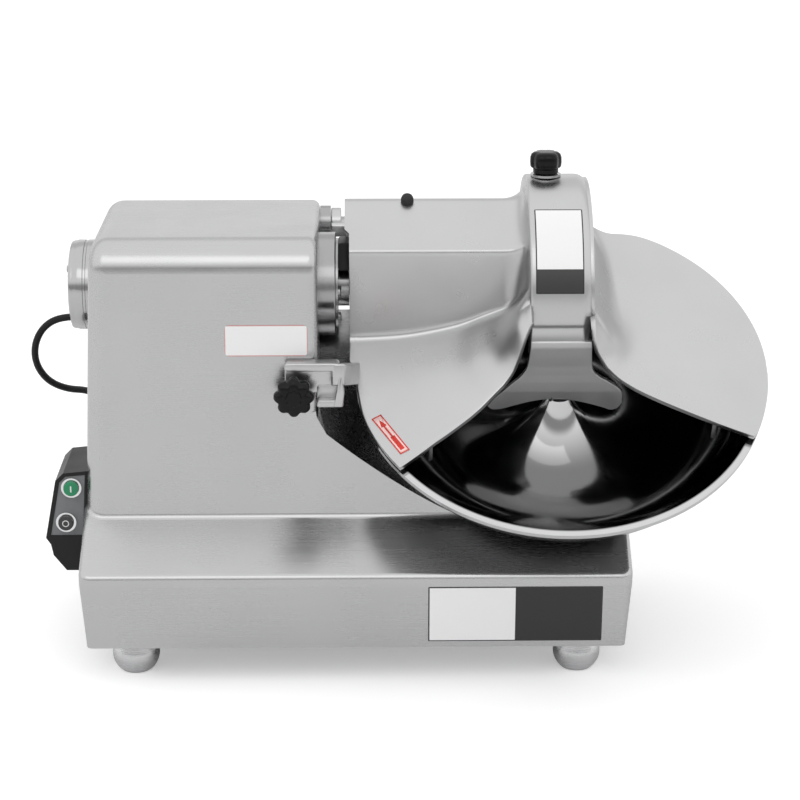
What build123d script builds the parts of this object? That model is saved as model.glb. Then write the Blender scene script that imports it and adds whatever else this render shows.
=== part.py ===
"""Tabletop bowl cutter: motor casing, tilted turning bowl, crescent knives on a cross shaft, hinged lid.

Construction frame: origin at the centre of the bowl's rim plane, X to the right, Y to the back, Z up.
The bowl frame is the same point tilted towards the operator: x, r up the rim plane, h along the bowl axis.
At the end every piece is moved so that the origin is under the middle of the machine, on the floor.
"""
from build123d import *
import math
import os

os.makedirs("parts", exist_ok=True)

# ------------------------------------------------------------------ driving dimensions, millimetres
# Bowl
TILT = 32.0               # lean of the bowl axis towards the operator, degrees
RIM_R = 177.5             # outer radius of the bowl's rim
RIM_THICK = 4.0
TROUGH_R = 86.0           # radius of the trough's round section, about the knife shaft
BOWL_WALL = 2.5
BOWL_RING_R = 24.0        # outside of the ring under the cone that sits on the carrier
BOWL_RING_DEPTH = 60.0    # bottom of that ring below the rim plane

# Knife shaft, along X
KNIFE_R = 88.5            # its place up the rim plane
KNIFE_H = 21.5            # its height over the rim plane
CONE_TOP_R = KNIFE_R - 74.5    # flat top of the bowl's central cone
KNIFE_SHAFT_R = 10.0
KNIFE_TIP_R = 83.0
KNIFE_THICK = 2.5
KNIFE_SPACING = 9.5       # between the middles of the two knives
KNIFE_HUB_R = 22.0
KNIFE_HUB_WIDTH = 26.0

# Casing
WALL = 5.0
FRONT_Y = -43.7           # motor housing's front face
BACK_Y = 163.0
TOP_Z = 126.7
HOUSE_RIGHT = -209.0
LEFT_X = -412.0           # left wall at the base's upper edge
LEFT_LEAN = 11.7          # how far that wall leans in at the top of the housing
BASE_RIGHT = 57.7
BASE_FRONT = -99.0
BOTTOM_Z = -215.0
BASE_BAND = 9.0           # upright band under the deck's edge
BASE_TAPER = 5.0          # how far the base's ends lean in towards the bottom
DECK_H = -73.6            # deck under the bowl, parallel to the rim plane
TOP_FRONT_ROUND = 26.0
TOP_BACK_ROUND = 40.0
SIDE_ROUND = 16.0         # round edge of the housing's left wall
RIGHT_ROUND = 7.0         # round edge of the housing's right wall
BASE_ROUND = 10.0         # upright corners of the base
EDGE_ROUND = 6.0          # upper edge of the base
POCKET_FLOOR_R = 131.5    # round hollow that the bowl turns in
POCKET_R = 216.0
SHOULDER_H = 6.0          # top of the casing's shoulder beside the bowl, at its front
SHOULDER_STEP_Y = 14.0    # behind this it is lower, to pass under the bearing ring
SHOULDER_LOW_H = -26.0
SHOULDER_BACK = 100.0
SHOULDER_RIGHT = -60.0

FOOT_LINE_ROUND = 6.0     # hollow between the housing's front and the deck
BUSHING_R = 9.0           # threaded bushing for the clamp screw

# Feet and bottom plate
PLATE_THICK = 3.0
SCREW_R = 3.0
VENT_R = 12.0
MOTOR_VENT_X = -180.0
FOOT_R = 20.5
FOOT_HEIGHT = 31.0
FOOT_INSET_X = 44.0
FOOT_FRONT_Y = -62.0
FOOT_BACK_Y = 132.0
PLATE_GAP = 0.4
BOSS_DEPTH = 16.0         # square boss over each of the plate's own screws
BOSS_HEIGHT = 15.0

# Attachment hub on the left wall
HUB_R = 39.5
HUB_FACE_X = LEFT_X - 18.0
HUB_BORE_R = 17.5
HUB_SOCKET = 26.0         # depth of the socket for attachments
DRIVE_SQUARE = 9.5        # square socket in the knife shaft's end, which drives attachments
DRIVE_DEPTH = 20.0
SOCKET_CLEAR = 0.5        # the shaft and its bearing end this far behind the socket
BEARING_WIDTH = 10.0
BEARING_SEAT_R = 20.0
HUB_SCREW_R = 2.5
HUB_SCREW_PLACE = 9.0     # behind the hub's face

# Bearing ring on the right wall
RING_R = 45.5
RING_WIDTH = 15.0
RING_LIP_R = 40.0
RING_LIP = 2.0
RING_SCREW_R = 2.4
RING_SCREW_LENGTH = 21.0
RING_SCREW_PLACE = 30.0   # distance of its screws from the shaft
RING_TUBE_R = 27.0
NOSE_R = 19.6
NOSE_END_X = -182.5
SWITCH_REACH = 5.0        # of the interlock switch into the lid's left end
BEARING_R = 20.0
RUN_FIT = 0.05            # radial clearance of a turning shaft

# Belt drive
PULLEY_X = LEFT_X + 26.0
PULLEY_WIDTH = 14.0
PULLEY_R = 32.0
GROOVE_DEPTH = 8.0
BELT_WIDTH = 9.0
BELT_THICK = 6.0
BELT_CLEAR = 0.3

# Motor
MOTOR_R = 58.0
STATOR_LEFT = LEFT_X + 50.0
STATOR_LENGTH = 112.0
ROTOR_R = 36.0
AIR_GAP = 0.4
BELL_THICK = 12.0
MOTOR_SHAFT_R = 7.0
FAN_R = 50.0
FAN_WIDTH = 12.0
FAN_BLADES = 8
SHAFT_END_X = 34.0
CAPACITOR_R = 17.0
CAPACITOR_LENGTH = 70.0

# Worm drive of the bowl
MODULE = 1.0
WHEEL_TEETH = 60
WORM_PITCH_R = 8.0
WORM_LENGTH = 30.0
WHEEL_WIDTH = 9.0
WORM_H = -118.0           # height of the worm's axis in the bowl frame
THREAD_HALF = 0.5         # half the worm thread's width on the pitch line
TOOTH_BACKLASH = 0.3
BLOCK_R = 11.0            # bearing block at the worm's end
SPINDLE_R = 8.0
SPINDLE_BEARING_R = 15.0
SPINDLE_TUBE_R = 21.0
SPINDLE_FLANGE = 6.0
FLANGE_BOLT_R = 2.4
FLANGE_BOLT_LENGTH = 9.5
CARRIER_R = 36.0
CARRIER_THICK = 5.0
DRIVE_PIN_R = 2.5

# Lid
LID_R = 178.5
LID_WALL = 4.0
LID_GAP = 2.0             # over the bowl's rim
RIDGE_R = 96.0
RIDGE_X = -2.5
RIDGE_WIDTH = 53.0
TUNNEL_LEFT = -186.0
TUNNEL_TOP_H = 98.0
TUNNEL_FRONT_TOP = 63.0
TUNNEL_BACK_TOP = 124.0
TUNNEL_FRONT_FOOT = 36.0
TUNNEL_BACK_FOOT = 168.0
TUNNEL_FLOOR_H = 10.0
TUNNEL_FRONT_KNEE = 57.0
TUNNEL_KNEE_H = 82.0
APRON_FRONT_R = 8.0
LID_BACK_R = 177.0
LID_EDGE_H = 8.0          # top of the lid's outer edge over the rim plane
HAT_POINTS = [(20, 80), (27, 66), (40, 50), (58, 36), (76, 27), (100, 18.5), (135, 11.5), (LID_R, LID_EDGE_H)]
HAT_SHARE_RHO = 0.7       # how the wall's thickness goes inwards and downwards on the wings
HAT_SHARE_H = 0.8
RIDGE_LEFT_ROUND = 3.0
RIDGE_RIGHT_ROUND = 11.0
RIDGE_FOOT_H = 5.0
SLOT_CLEAR = 2.5          # round the knife shaft in the lid
SLOT_SWING = 12.0         # room before the shaft for the lid's swing
MOUTH_LEFT_EDGE = [(-29, -8.5), (-37, -24), (-52, -44), (-80, -68), (-220, -188)]
MOUTH_RIGHT_EDGE = [(24, -8.5), (42, -26), (60, -38), (86, -47.5), (230, -113)]
GUARD_R = KNIFE_R - RIDGE_R - 5.5          # front of the guard, before the ridge's foot
GUARD_THICK = 4.0
FLANGE_BACK_R = KNIFE_R - RIDGE_R + 5.0
COMB_SPACING = 10.0
COMB_THICK = 3.0
GUARD_PIN_X = -7.0
GUARD_PIN_R = 2.5
GUARD_PIN_BOTTOM = -20.0
COMB_SCREW_PLACE = 19.0   # sideways from the ridge's middle
COMB_SCREW_R = 1.4
COMB_SCREW_LENGTH = 9.0
TAB_RHO = 142.0
TAB_BOTTOM_H = -14.0
TAB_WIDTH = 8.0
TAB_ANGLES = (-24.5, -144.5)
BUMPER_X = -131.6
BUMPER_R = 5.6
LID_OPEN = 110.0          # opening angle, degrees

# Lid hinge
HINGE_Y = 148.0
HINGE_Z = 101.6
HINGE_BOSS_R = 15.0
HINGE_PIN_R = 5.0
KNUCKLE_R = 13.0
KNUCKLE_LEFT = -199.0
KNUCKLE_WIDTH = 9.0

# Lug and clamp knob
LUG_LEFT = -236.5
LUG_TOP_Z = 29.0
LUG_BOTTOM_Z = -11.0
LUG_FRONT_Y = -62.0
LUG_GAP = 1.3             # between the lug and the housing's front face
WEB = 6.0
LUG_ARM_LEFT = -186.0
LUG_ARM_RIGHT = -166.0
LUG_RIM = 7.0             # raised lower rim of the lug
LUG_LEDGE = 9.0           # ledge over the knob
LUG_BORDER = 8.0          # raised border at the lug's right end
CLAMP_X = -228.5
CLAMP_Z = 0.0
CLAMP_SCREW_R = 4.0
CLAMP_TRAVEL = 8.0
CLAMP_KNOB_R = 17.3
CLAMP_KNOB_HEIGHT = 14.0
CLAMP_LOBES = 8
TOP_KNOB_R = 13.8
TOP_KNOB_HEIGHT = 14.0
TOP_KNOB_TRAVEL = 3.0
TOP_LOBES = 6
TOP_KNOB_X = -10.8
TOP_SCREW_R = 3.0
TOP_NECK = 5.0
THREAD_PITCH = 1.25       # of both knob screws
KNOB_BORE_SHARE = 0.7     # depth of a knob's bore as a share of its height

# Control box
BOX_FRONT_Y = -30.0
BOX_DEPTH = 72.0
BOX_TOP_Z = -77.0
BOX_BOTTOM_Z = -168.0
BOX_LEFT = LEFT_X - 34.4
BUTTON_R = 6.5
BEZEL_R = 8.8
BUTTON_TRAVEL = 2.0
BUTTON_PROUD = 3.5
START_PLACE = (LEFT_X - 10.6, -91.8)
STOP_PLACE = (LEFT_X - 16.2, -123.2)

# Mains lead
CORD_D = 6.5
CORD_EXIT_Y = 122.0
CORD_EXIT_Z = 20.0
GLAND_R = 9.0
GLAND_LENGTH = 20.0
# Route of the lead after the gland: X from the left wall, Y and Z
CORD_ROUTE = [
    (-34, 122.5, 20), (-50.5, 124, 10), (-59.5, 127, -8), (-59.5, 132, -28), (-50, 139, -46),
    (-34, 150, -57), (-18, 167, -63), (-4, 184, -75), (7, 196, -96), (14, 202, -122), (18, 204, -149),
    (21, 204, -176), (26, 202, -202), (35, 200, -224), (50, 199, -239), (70, 198, -242.7),
    (94, 192, -242.7), (112, 189.5, -242.7),
]
COIL_CENTRE = (LEFT_X + 114.0, 232.0)
COIL_R = 46.0
COIL_HOLE_R = 26.0
COIL_HEIGHT = 13.5
PLUG_LENGTH = 36.0
PLUG_WIDTH = 27.0
PLUG_HEIGHT = 22.0

# ------------------------------------------------------------------ frames and derived places
BOWL = Location((0, 0, 0), (TILT, 0, 0))
COS = math.cos(math.radians(TILT))
SIN = math.sin(math.radians(TILT))


def bowl_yz(r, h):
    """Y and Z of a point given in the bowl frame."""
    return r * COS - h * SIN, r * SIN + h * COS


KNIFE_Y, KNIFE_Z = bowl_yz(KNIFE_R, KNIFE_H)
WHEEL_PITCH_R = MODULE * WHEEL_TEETH / 2
WORM_R = -(WHEEL_PITCH_R + WORM_PITCH_R)
MOTOR_Y, MOTOR_Z = bowl_yz(WORM_R, WORM_H)
FLOOR_Z = BOTTOM_Z - FOOT_HEIGHT
EDGE_Z = DECK_H / COS + BASE_FRONT * SIN / COS    # upper front edge of the base
BAND_Z = EDGE_Z - BASE_BAND
LEFT_SLOPE = LEFT_LEAN / (TOP_Z - BAND_Z)
HINGE_R = HINGE_Y * COS + HINGE_Z * SIN
HINGE_H = -HINGE_Y * SIN + HINGE_Z * COS
BIG = 700.0


def left_wall(z):
    """X of the casing's left face at a height."""
    if z >= BAND_Z:
        return LEFT_X + (z - BAND_Z) * LEFT_SLOPE
    return LEFT_X + BASE_TAPER * (BAND_Z - z) / (BAND_Z - BOTTOM_Z)


def rod(radius, x0, x1, y, z):
    """Round bar along X."""
    return Pos((x0 + x1) / 2, y, z) * Rot(0, 90, 0) * Cylinder(radius, x1 - x0)


def tube(outer, inner, x0, x1, y, z):
    """Round tube along X."""
    return rod(outer, x0, x1, y, z) - rod(inner, x0 - 1, x1 + 1, y, z)


def block(x0, x1, y0, y1, z0, z1):
    """Box between corners."""
    return Pos((x0 + x1) / 2, (y0 + y1) / 2, (z0 + z1) / 2) * Box(x1 - x0, y1 - y0, z1 - z0)


def post(radius, x, y, z0, z1):
    """Round bar along Z."""
    return Pos(x, y, (z0 + z1) / 2) * Cylinder(radius, z1 - z0)


def side_prism(points, x0, x1):
    """Prism along X from an outline of (Y, Z) points."""
    outline = Plane.YZ * make_face(Polyline(*points, close=True))
    return Pos(x0, 0, 0) * extrude(outline, x1 - x0)


def front_prism(points, y0, y1):
    """Prism along Y from an outline of (X, Z) points."""
    outline = Plane.XZ * make_face(Polyline(*points, close=True))
    return Pos(0, y0, 0) * extrude(outline, -(y1 - y0))


def turned(*edges):
    """Solid turned about Z from edges that close an outline of (radius, height)."""
    return revolve(Plane.XZ * make_face(Curve() + list(edges)), Axis.Z)


def turned_points(points):
    """Solid turned about Z from straight-sided (radius, height) points."""
    return revolve(Plane.XZ * make_face(Polyline(*points, close=True)), Axis.Z)


def screw(head_r, head_h, shank_r, shank_length):
    """Pan-head screw, head up, seat at the origin."""
    head = Pos(0, 0, head_h / 2) * Cylinder(head_r, head_h)
    head = fillet(head.edges().group_by(Axis.Z)[-1], head_h * 0.4)
    slot = Pos(0, 0, head_h) * Box(head_r * 1.4, head_h * 0.35, head_h * 0.7)
    return head - slot + Pos(0, 0, -shank_length / 2) * Cylinder(shank_r, shank_length)


pieces = {}

# ------------------------------------------------------------------ casing


def pocket(inset):
    """Round hollow for the bowl, in the bowl frame."""
    floor_h = DECK_H - inset
    return turned_points([
        (0, floor_h),
        (POCKET_FLOOR_R + inset, floor_h),
        (POCKET_R - 22 + inset, -24 - inset),
        (POCKET_R - 6 + inset, -11 - inset),
        (POCKET_R + inset, 2 - inset),
        (POCKET_R + inset, 300),
        (0, 300),
    ])


def deck_z(y, inset=0.0):
    """Height of the sloping deck, or of its underside."""
    return (DECK_H - inset) / COS + y * SIN / COS


def casing_block(inset):
    """Housing and base as sharp-edged blocks, or their hollow when inset by the wall."""
    front, back, top = FRONT_Y + inset, BACK_Y - inset, TOP_Z - inset
    outline = [(front, BAND_Z), (front, top), (back, top), (back, BAND_Z)]
    house = side_prism(outline, -BIG, HOUSE_RIGHT - inset)
    upper = house.edges().filter_by(Axis.X).group_by(Axis.Z)[-1].sort_by(Axis.Y)
    house = fillet(upper[0], TOP_FRONT_ROUND - inset)
    upper = house.edges().filter_by(Axis.X).group_by(Axis.Z)[-1].sort_by(Axis.Y)
    house = fillet(upper[-1], TOP_BACK_ROUND - inset)
    lean_top = front_prism([
        (left_wall(BIG) + inset, BIG),
        (-2 * BIG, BIG),
        (-2 * BIG, BAND_Z - 2),
        (left_wall(BAND_Z) + inset, BAND_Z - 2),
    ], -BIG, BIG)
    return house - lean_top, base_block(inset)


def base_block(inset):
    """Low base with drafted walls under an upright band, and the sloping deck on top."""
    plan = Rectangle(BASE_RIGHT - LEFT_X - 2 * inset, BACK_Y - BASE_FRONT - 2 * inset)
    if inset == 0:
        plan = fillet(plan.vertices(), BASE_ROUND)
    middle = Pos((BASE_RIGHT + LEFT_X) / 2, (BACK_Y + BASE_FRONT) / 2, BAND_Z)
    draft = math.degrees(math.atan(BASE_TAPER / (BAND_Z - BOTTOM_Z)))
    low = middle * extrude(plan, -(BAND_Z - BOTTOM_Z + inset), taper=draft)
    deck = side_prism([
        (BASE_FRONT - 9, BAND_Z - 9),
        (BASE_FRONT - 9, deck_z(BASE_FRONT - 9, inset)),
        (BACK_Y + 9, deck_z(BACK_Y + 9, inset)),
        (BACK_Y + 9, BAND_Z - 9),
    ], -BIG, BIG)
    base = low + (middle * extrude(plan, BIG) & deck)
    if inset == 0:
        top = base.faces().filter_by(lambda f: abs(f.normal_at().Y + SIN) < 0.01).sort_by(SortBy.AREA)[-1]
        base = fillet(top.edges().filter_by(lambda e: e.center().Y < BACK_Y - 1), EDGE_ROUND)
    return base - block(-BIG, LEFT_X + 2 * SIDE_ROUND, FRONT_Y + SIDE_ROUND, BIG, BAND_Z, BIG)


def shoulder_block(inset):
    """The part of the casing that rises round the bowl's left side, in two steps."""
    steps = []
    for back, top_h in ((SHOULDER_STEP_Y, SHOULDER_H), (SHOULDER_BACK, SHOULDER_LOW_H)):
        solid = block(HOUSE_RIGHT - 30, SHOULDER_RIGHT, FRONT_Y + inset, back - inset, -150, 120)
        over = Pos(0, 0, top_h - inset + BIG / 2) * Box(2 * BIG, 2 * BIG, BIG)
        steps.append(solid - BOWL * (pocket(inset) + over))
    return steps[0] + steps[1]


def round_house(house):
    """Rounds the edges of the housing's two end walls."""
    side = house.faces().sort_by(Axis.X)[0]
    house = fillet(side.edges().filter_by(lambda e: e.center().Z > -120), SIDE_ROUND)
    side = house.faces().sort_by(Axis.X)[-1]
    return fillet(side.edges().filter_by(lambda e: e.center().Z > -120), RIGHT_ROUND)


house, base = casing_block(0)
outer = round_house(house) + base + shoulder_block(0)
foot_line = outer.edges().filter_by(Axis.X).filter_by(
    lambda e: abs(e.center().Y - FRONT_Y) < 0.1 and abs(e.center().Z - deck_z(FRONT_Y)) < 0.1)
outer = fillet(foot_line, FOOT_LINE_ROUND)
hollow_house, hollow_base = casing_block(WALL)
inner = hollow_house + hollow_base + shoulder_block(WALL)
casing = outer - inner

# Bosses inside the front and back walls, for the bottom plate's screws
middle_x = (LEFT_X + BASE_RIGHT) / 2
front_screw_y = BASE_FRONT + WALL + BASE_TAPER + BOSS_DEPTH / 2
back_screw_y = BACK_Y - WALL - BASE_TAPER - BOSS_DEPTH / 2
plate_screw_places = [(middle_x, front_screw_y), (middle_x, back_screw_y)]
boss_bottom = BOTTOM_Z + PLATE_THICK
front_boss = (BASE_FRONT + WALL, front_screw_y + BOSS_DEPTH / 2)
back_boss = (back_screw_y - BOSS_DEPTH / 2, BACK_Y - WALL)
for y0, y1 in (front_boss, back_boss):
    casing = casing + block(middle_x - BOSS_DEPTH / 2, middle_x + BOSS_DEPTH / 2, y0, y1,
                            boss_bottom, boss_bottom + BOSS_HEIGHT)
for x, y in plate_screw_places:
    casing = casing - post(SCREW_R, x, y, BOTTOM_Z, BOTTOM_Z + BOSS_HEIGHT * 0.8)

spindle_hole = BOWL * (Pos(0, 0, DECK_H) * Cylinder(SPINDLE_R + 4, 40))
casing = casing - rod(HUB_R, -BIG, STATOR_LEFT - 30, KNIFE_Y, KNIFE_Z)
casing = casing - rod(RING_TUBE_R, HOUSE_RIGHT - 20, HOUSE_RIGHT + 10, KNIFE_Y, KNIFE_Z)
casing = casing - rod(HINGE_PIN_R, HOUSE_RIGHT - 20, HOUSE_RIGHT + 10, HINGE_Y, HINGE_Z)
casing = casing - spindle_hole
under_deck = DECK_H - WALL


def flange_place(k):
    """Seat of one screw of the spindle housing, head down, in the bowl frame."""
    return Rot(0, 0, 45 + 90 * k) * Pos(SPINDLE_TUBE_R + 8, 0, under_deck - SPINDLE_FLANGE) * Rot(180, 0, 0)


for k in range(4):
    casing = casing - BOWL * flange_place(k) * Pos(0, 0, -FLANGE_BOLT_LENGTH / 2) * Cylinder(
        FLANGE_BOLT_R, FLANGE_BOLT_LENGTH)
bushing_hole = Pos(CLAMP_X, FRONT_Y, CLAMP_Z) * Rot(90, 0, 0) * Cylinder(BUSHING_R, 4 * WALL)
casing = casing - bushing_hole
casing = casing - rod(CORD_D / 2 + 3, -BIG, STATOR_LEFT - 20, CORD_EXIT_Y, CORD_EXIT_Z)
pieces["casing_shell"] = casing

# Bottom plate, with the screws that hold it and the feet
plate_inset = WALL + PLATE_GAP + BASE_TAPER
plate = block(LEFT_X + plate_inset, BASE_RIGHT - plate_inset, BASE_FRONT + plate_inset,
              BACK_Y - plate_inset, BOTTOM_Z, BOTTOM_Z + PLATE_THICK)
foot_places = [(x, y) for x in (LEFT_X + FOOT_INSET_X, BASE_RIGHT - FOOT_INSET_X)
               for y in (FOOT_FRONT_Y, FOOT_BACK_Y)]
for x, y in foot_places:
    plate = plate - post(SCREW_R, x, y, BOTTOM_Z - 1, BOTTOM_Z + PLATE_THICK + 1)
plate = plate - post(VENT_R, MOTOR_VENT_X, MOTOR_Y, BOTTOM_Z - 1, BOTTOM_Z + PLATE_THICK + 1)
plate_screws = []
for x, y in plate_screw_places:
    plate = plate - post(SCREW_R, x, y, BOTTOM_Z - 1, BOTTOM_Z + PLATE_THICK + 1)
    plate_screw = screw(SCREW_R * 1.8, 2, SCREW_R, BOSS_HEIGHT * 0.8)
    plate_screws.append(Pos(x, y, BOTTOM_Z) * Rot(180, 0, 0) * plate_screw)
pieces["bottom_plate"] = plate
pieces["plate_screws"] = Compound(plate_screws)

# Feet: a bun on each corner and the screw that holds it
foot_profile = [
    Line((0, 0), (FOOT_R * 0.62, 0)),
    ThreePointArc((FOOT_R * 0.62, 0), (FOOT_R * 0.97, FOOT_HEIGHT * 0.36),
                  (FOOT_R * 0.93, FOOT_HEIGHT * 0.72)),
    Line((FOOT_R * 0.93, FOOT_HEIGHT * 0.72), (FOOT_R * 0.8, FOOT_HEIGHT)),
    Line((FOOT_R * 0.8, FOOT_HEIGHT), (0, FOOT_HEIGHT)),
    Line((0, FOOT_HEIGHT), (0, 0)),
]
foot = turned(*foot_profile) - Pos(0, 0, FOOT_HEIGHT) * Cylinder(SCREW_R, FOOT_HEIGHT)
foot_screw = screw(SCREW_R * 2, 3, SCREW_R, PLATE_THICK + FOOT_HEIGHT / 2)
foot_screw = Pos(0, 0, FOOT_HEIGHT + PLATE_THICK) * foot_screw
pieces["feet"] = Compound([Pos(x, y, FLOOR_Z) * foot for x, y in foot_places])
pieces["foot_screws"] = Compound([Pos(x, y, FLOOR_Z) * foot_screw for x, y in foot_places])

# ------------------------------------------------------------------ motor
stator_right = STATOR_LEFT + STATOR_LENGTH
stator = tube(MOTOR_R, ROTOR_R + AIR_GAP, STATOR_LEFT, stator_right, MOTOR_Y, MOTOR_Z)
pieces["motor_stator"] = stator
bell_hole = MOTOR_SHAFT_R + RUN_FIT
left_bell = tube(MOTOR_R, bell_hole, STATOR_LEFT - BELL_THICK, STATOR_LEFT, MOTOR_Y, MOTOR_Z)
right_bell = tube(MOTOR_R, bell_hole, stator_right, stator_right + BELL_THICK, MOTOR_Y, MOTOR_Z)
pieces["motor_end_bells"] = Compound([left_bell, right_bell])
cradle_top = MOTOR_Z - MOTOR_R * 0.55
cradle_left = STATOR_LEFT + STATOR_LENGTH * 0.2
cradle_right = STATOR_LEFT + STATOR_LENGTH * 0.8
cradle = block(cradle_left, cradle_right, MOTOR_Y - MOTOR_R * 0.9, MOTOR_Y + MOTOR_R * 0.9,
               BOTTOM_Z + PLATE_THICK, cradle_top)
pieces["motor_cradle"] = cradle - rod(MOTOR_R, cradle_left - 1, cradle_right + 1, MOTOR_Y, MOTOR_Z)
capacitor_y = MOTOR_Y + MOTOR_R + CAPACITOR_R + 6
capacitor = rod(CAPACITOR_R, cradle_left, cradle_left + CAPACITOR_LENGTH, capacitor_y,
                BOTTOM_Z + PLATE_THICK + CAPACITOR_R)
pieces["motor_capacitor"] = capacitor

motor_shaft = rod(MOTOR_SHAFT_R, PULLEY_X - PULLEY_WIDTH / 2 - 2, stator_right + BELL_THICK + FAN_WIDTH + 4,
                  MOTOR_Y, MOTOR_Z)
worm_shaft_r = WORM_PITCH_R * 0.6
motor_shaft = motor_shaft + rod(worm_shaft_r, stator_right, SHAFT_END_X, MOTOR_Y, MOTOR_Z)
pieces["motor_shaft"] = motor_shaft
rotor = tube(ROTOR_R, MOTOR_SHAFT_R, STATOR_LEFT + 4, stator_right - 4, MOTOR_Y, MOTOR_Z)
pieces["motor_rotor"] = rotor
fan_left = stator_right + BELL_THICK + 2
fan = tube(MOTOR_SHAFT_R * 2, MOTOR_SHAFT_R, fan_left, fan_left + FAN_WIDTH, MOTOR_Y, MOTOR_Z)
blade = block(fan_left, fan_left + FAN_WIDTH, -1, 1, MOTOR_SHAFT_R * 1.9, FAN_R)
for k in range(FAN_BLADES):
    fan = fan + Pos(0, MOTOR_Y, MOTOR_Z) * Rot(360 * k / FAN_BLADES, 0, 0) * blade
pieces["motor_fan"] = fan


def pulley(y, z, bore):
    """V-belt pulley along X."""
    half = PULLEY_WIDTH / 2
    floor_r = PULLEY_R - GROOVE_DEPTH
    profile = turned_points([
        (bore, -half), (PULLEY_R, -half), (PULLEY_R, -BELT_WIDTH / 2),
        (floor_r, -BELT_WIDTH / 4), (floor_r, BELT_WIDTH / 4),
        (PULLEY_R, BELT_WIDTH / 2), (PULLEY_R, half), (bore, half),
    ])
    return Pos(PULLEY_X, y, z) * Rot(0, 90, 0) * profile


pieces["motor_pulley"] = pulley(MOTOR_Y, MOTOR_Z, MOTOR_SHAFT_R)

# V-belt: a closed loop round both pulleys, running just clear of their grooves
belt_in = PULLEY_R - GROOVE_DEPTH + BELT_CLEAR
span = math.hypot(KNIFE_Y - MOTOR_Y, KNIFE_Z - MOTOR_Z)
belt_lean = math.degrees(math.atan2(KNIFE_Z - MOTOR_Z, KNIFE_Y - MOTOR_Y))


def belt_loop(radius, width):
    """Stadium round both pulleys, as a solid."""
    outline = SlotCenterToCenter(span, 2 * radius)
    return extrude(outline, width / 2, both=True)


belt = belt_loop(belt_in + BELT_THICK, BELT_WIDTH * 0.5) - belt_loop(belt_in, BELT_WIDTH)
belt = Plane.YZ.location * Rot(0, 0, belt_lean) * belt
pieces["drive_belt"] = Pos(PULLEY_X, (KNIFE_Y + MOTOR_Y) / 2, (KNIFE_Z + MOTOR_Z) / 2) * belt

# ------------------------------------------------------------------ worm drive of the bowl
LEAD = math.pi * MODULE
root_r = WORM_PITCH_R - 1.25 * MODULE
tip_r = WORM_PITCH_R + MODULE
flank = math.tan(math.radians(20))
helix = Helix(LEAD, WORM_LENGTH - 2 * LEAD, root_r - 0.2)
thread_base = THREAD_HALF + (WORM_PITCH_R - root_r + 0.2) * flank
thread_tip = THREAD_HALF - MODULE * flank
thread_height = tip_r - root_r + 0.2
section = Polyline((0, -thread_base), (thread_height, -thread_tip), (thread_height, thread_tip),
                   (0, thread_base), close=True)
start = Plane(origin=helix @ 0, x_dir=(1, 0, 0), z_dir=helix % 0)
thread = sweep(start * make_face(section), path=helix, is_frenet=True)
worm_core = Cylinder(root_r, WORM_LENGTH)
worm = worm_core + Pos(0, 0, -WORM_LENGTH / 2 + LEAD) * thread
worm = worm - Cylinder(worm_shaft_r, WORM_LENGTH + 2)
# The thread starts under the worm; this turn brings a thread to x = 0 on the side that faces the wheel
worm_turn = 90 + TILT - 180 * WORM_LENGTH / LEAD
worm = Rot(0, 90, 0) * Rot(0, 0, worm_turn) * worm
pieces["drive_worm"] = Pos(0, MOTOR_Y, MOTOR_Z) * worm

wheel_tip = WHEEL_PITCH_R + MODULE
wheel = Cylinder(wheel_tip, WHEEL_WIDTH) - Cylinder(SPINDLE_R, WHEEL_WIDTH + 2)
gap_half = LEAD / 4 + TOOTH_BACKLASH
gap_floor = WHEEL_PITCH_R - 1.25 * MODULE
gap = make_face(Polyline(
    (gap_floor, -gap_half + 1.25 * MODULE * flank),
    (wheel_tip + 1, -gap_half - 2 * MODULE * flank),
    (wheel_tip + 1, gap_half + 2 * MODULE * flank),
    (gap_floor, gap_half - 1.25 * MODULE * flank),
    close=True))
lead_angle = math.degrees(math.atan(LEAD / (2 * math.pi * WORM_PITCH_R)))
gap_bar = Rot(-lead_angle, 0, 0) * extrude(gap, WHEEL_WIDTH, both=True)
gaps = [Rot(0, 0, -90 + 360 * k / WHEEL_TEETH) * gap_bar for k in range(WHEEL_TEETH)]
wheel = wheel - gaps
pieces["worm_wheel"] = BOWL * Pos(0, 0, WORM_H) * wheel

block_left = WORM_LENGTH / 2 + 6
block_right = block_left + 12
pedestal = block(block_left, block_right, MOTOR_Y - BLOCK_R, MOTOR_Y + BLOCK_R,
                 BOTTOM_Z + PLATE_THICK, MOTOR_Z)
pedestal = pedestal + rod(BLOCK_R, block_left, block_right, MOTOR_Y, MOTOR_Z)
pedestal = pedestal - rod(worm_shaft_r + RUN_FIT, 0, 60, MOTOR_Y, MOTOR_Z)
pieces["worm_bearing_block"] = pedestal

# ------------------------------------------------------------------ bowl, its carrier and spindle
rim_inner = KNIFE_R + math.sqrt(TROUGH_R ** 2 - KNIFE_H ** 2)
under_r = TROUGH_R + BOWL_WALL
rim_under = KNIFE_R + math.sqrt(under_r ** 2 - (KNIFE_H + RIM_THICK) ** 2)


def trough_h(rho, radius):
    """Height of a trough surface at a distance from the bowl's axis."""
    return KNIFE_H - math.sqrt(radius ** 2 - (KNIFE_R - rho) ** 2)


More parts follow.
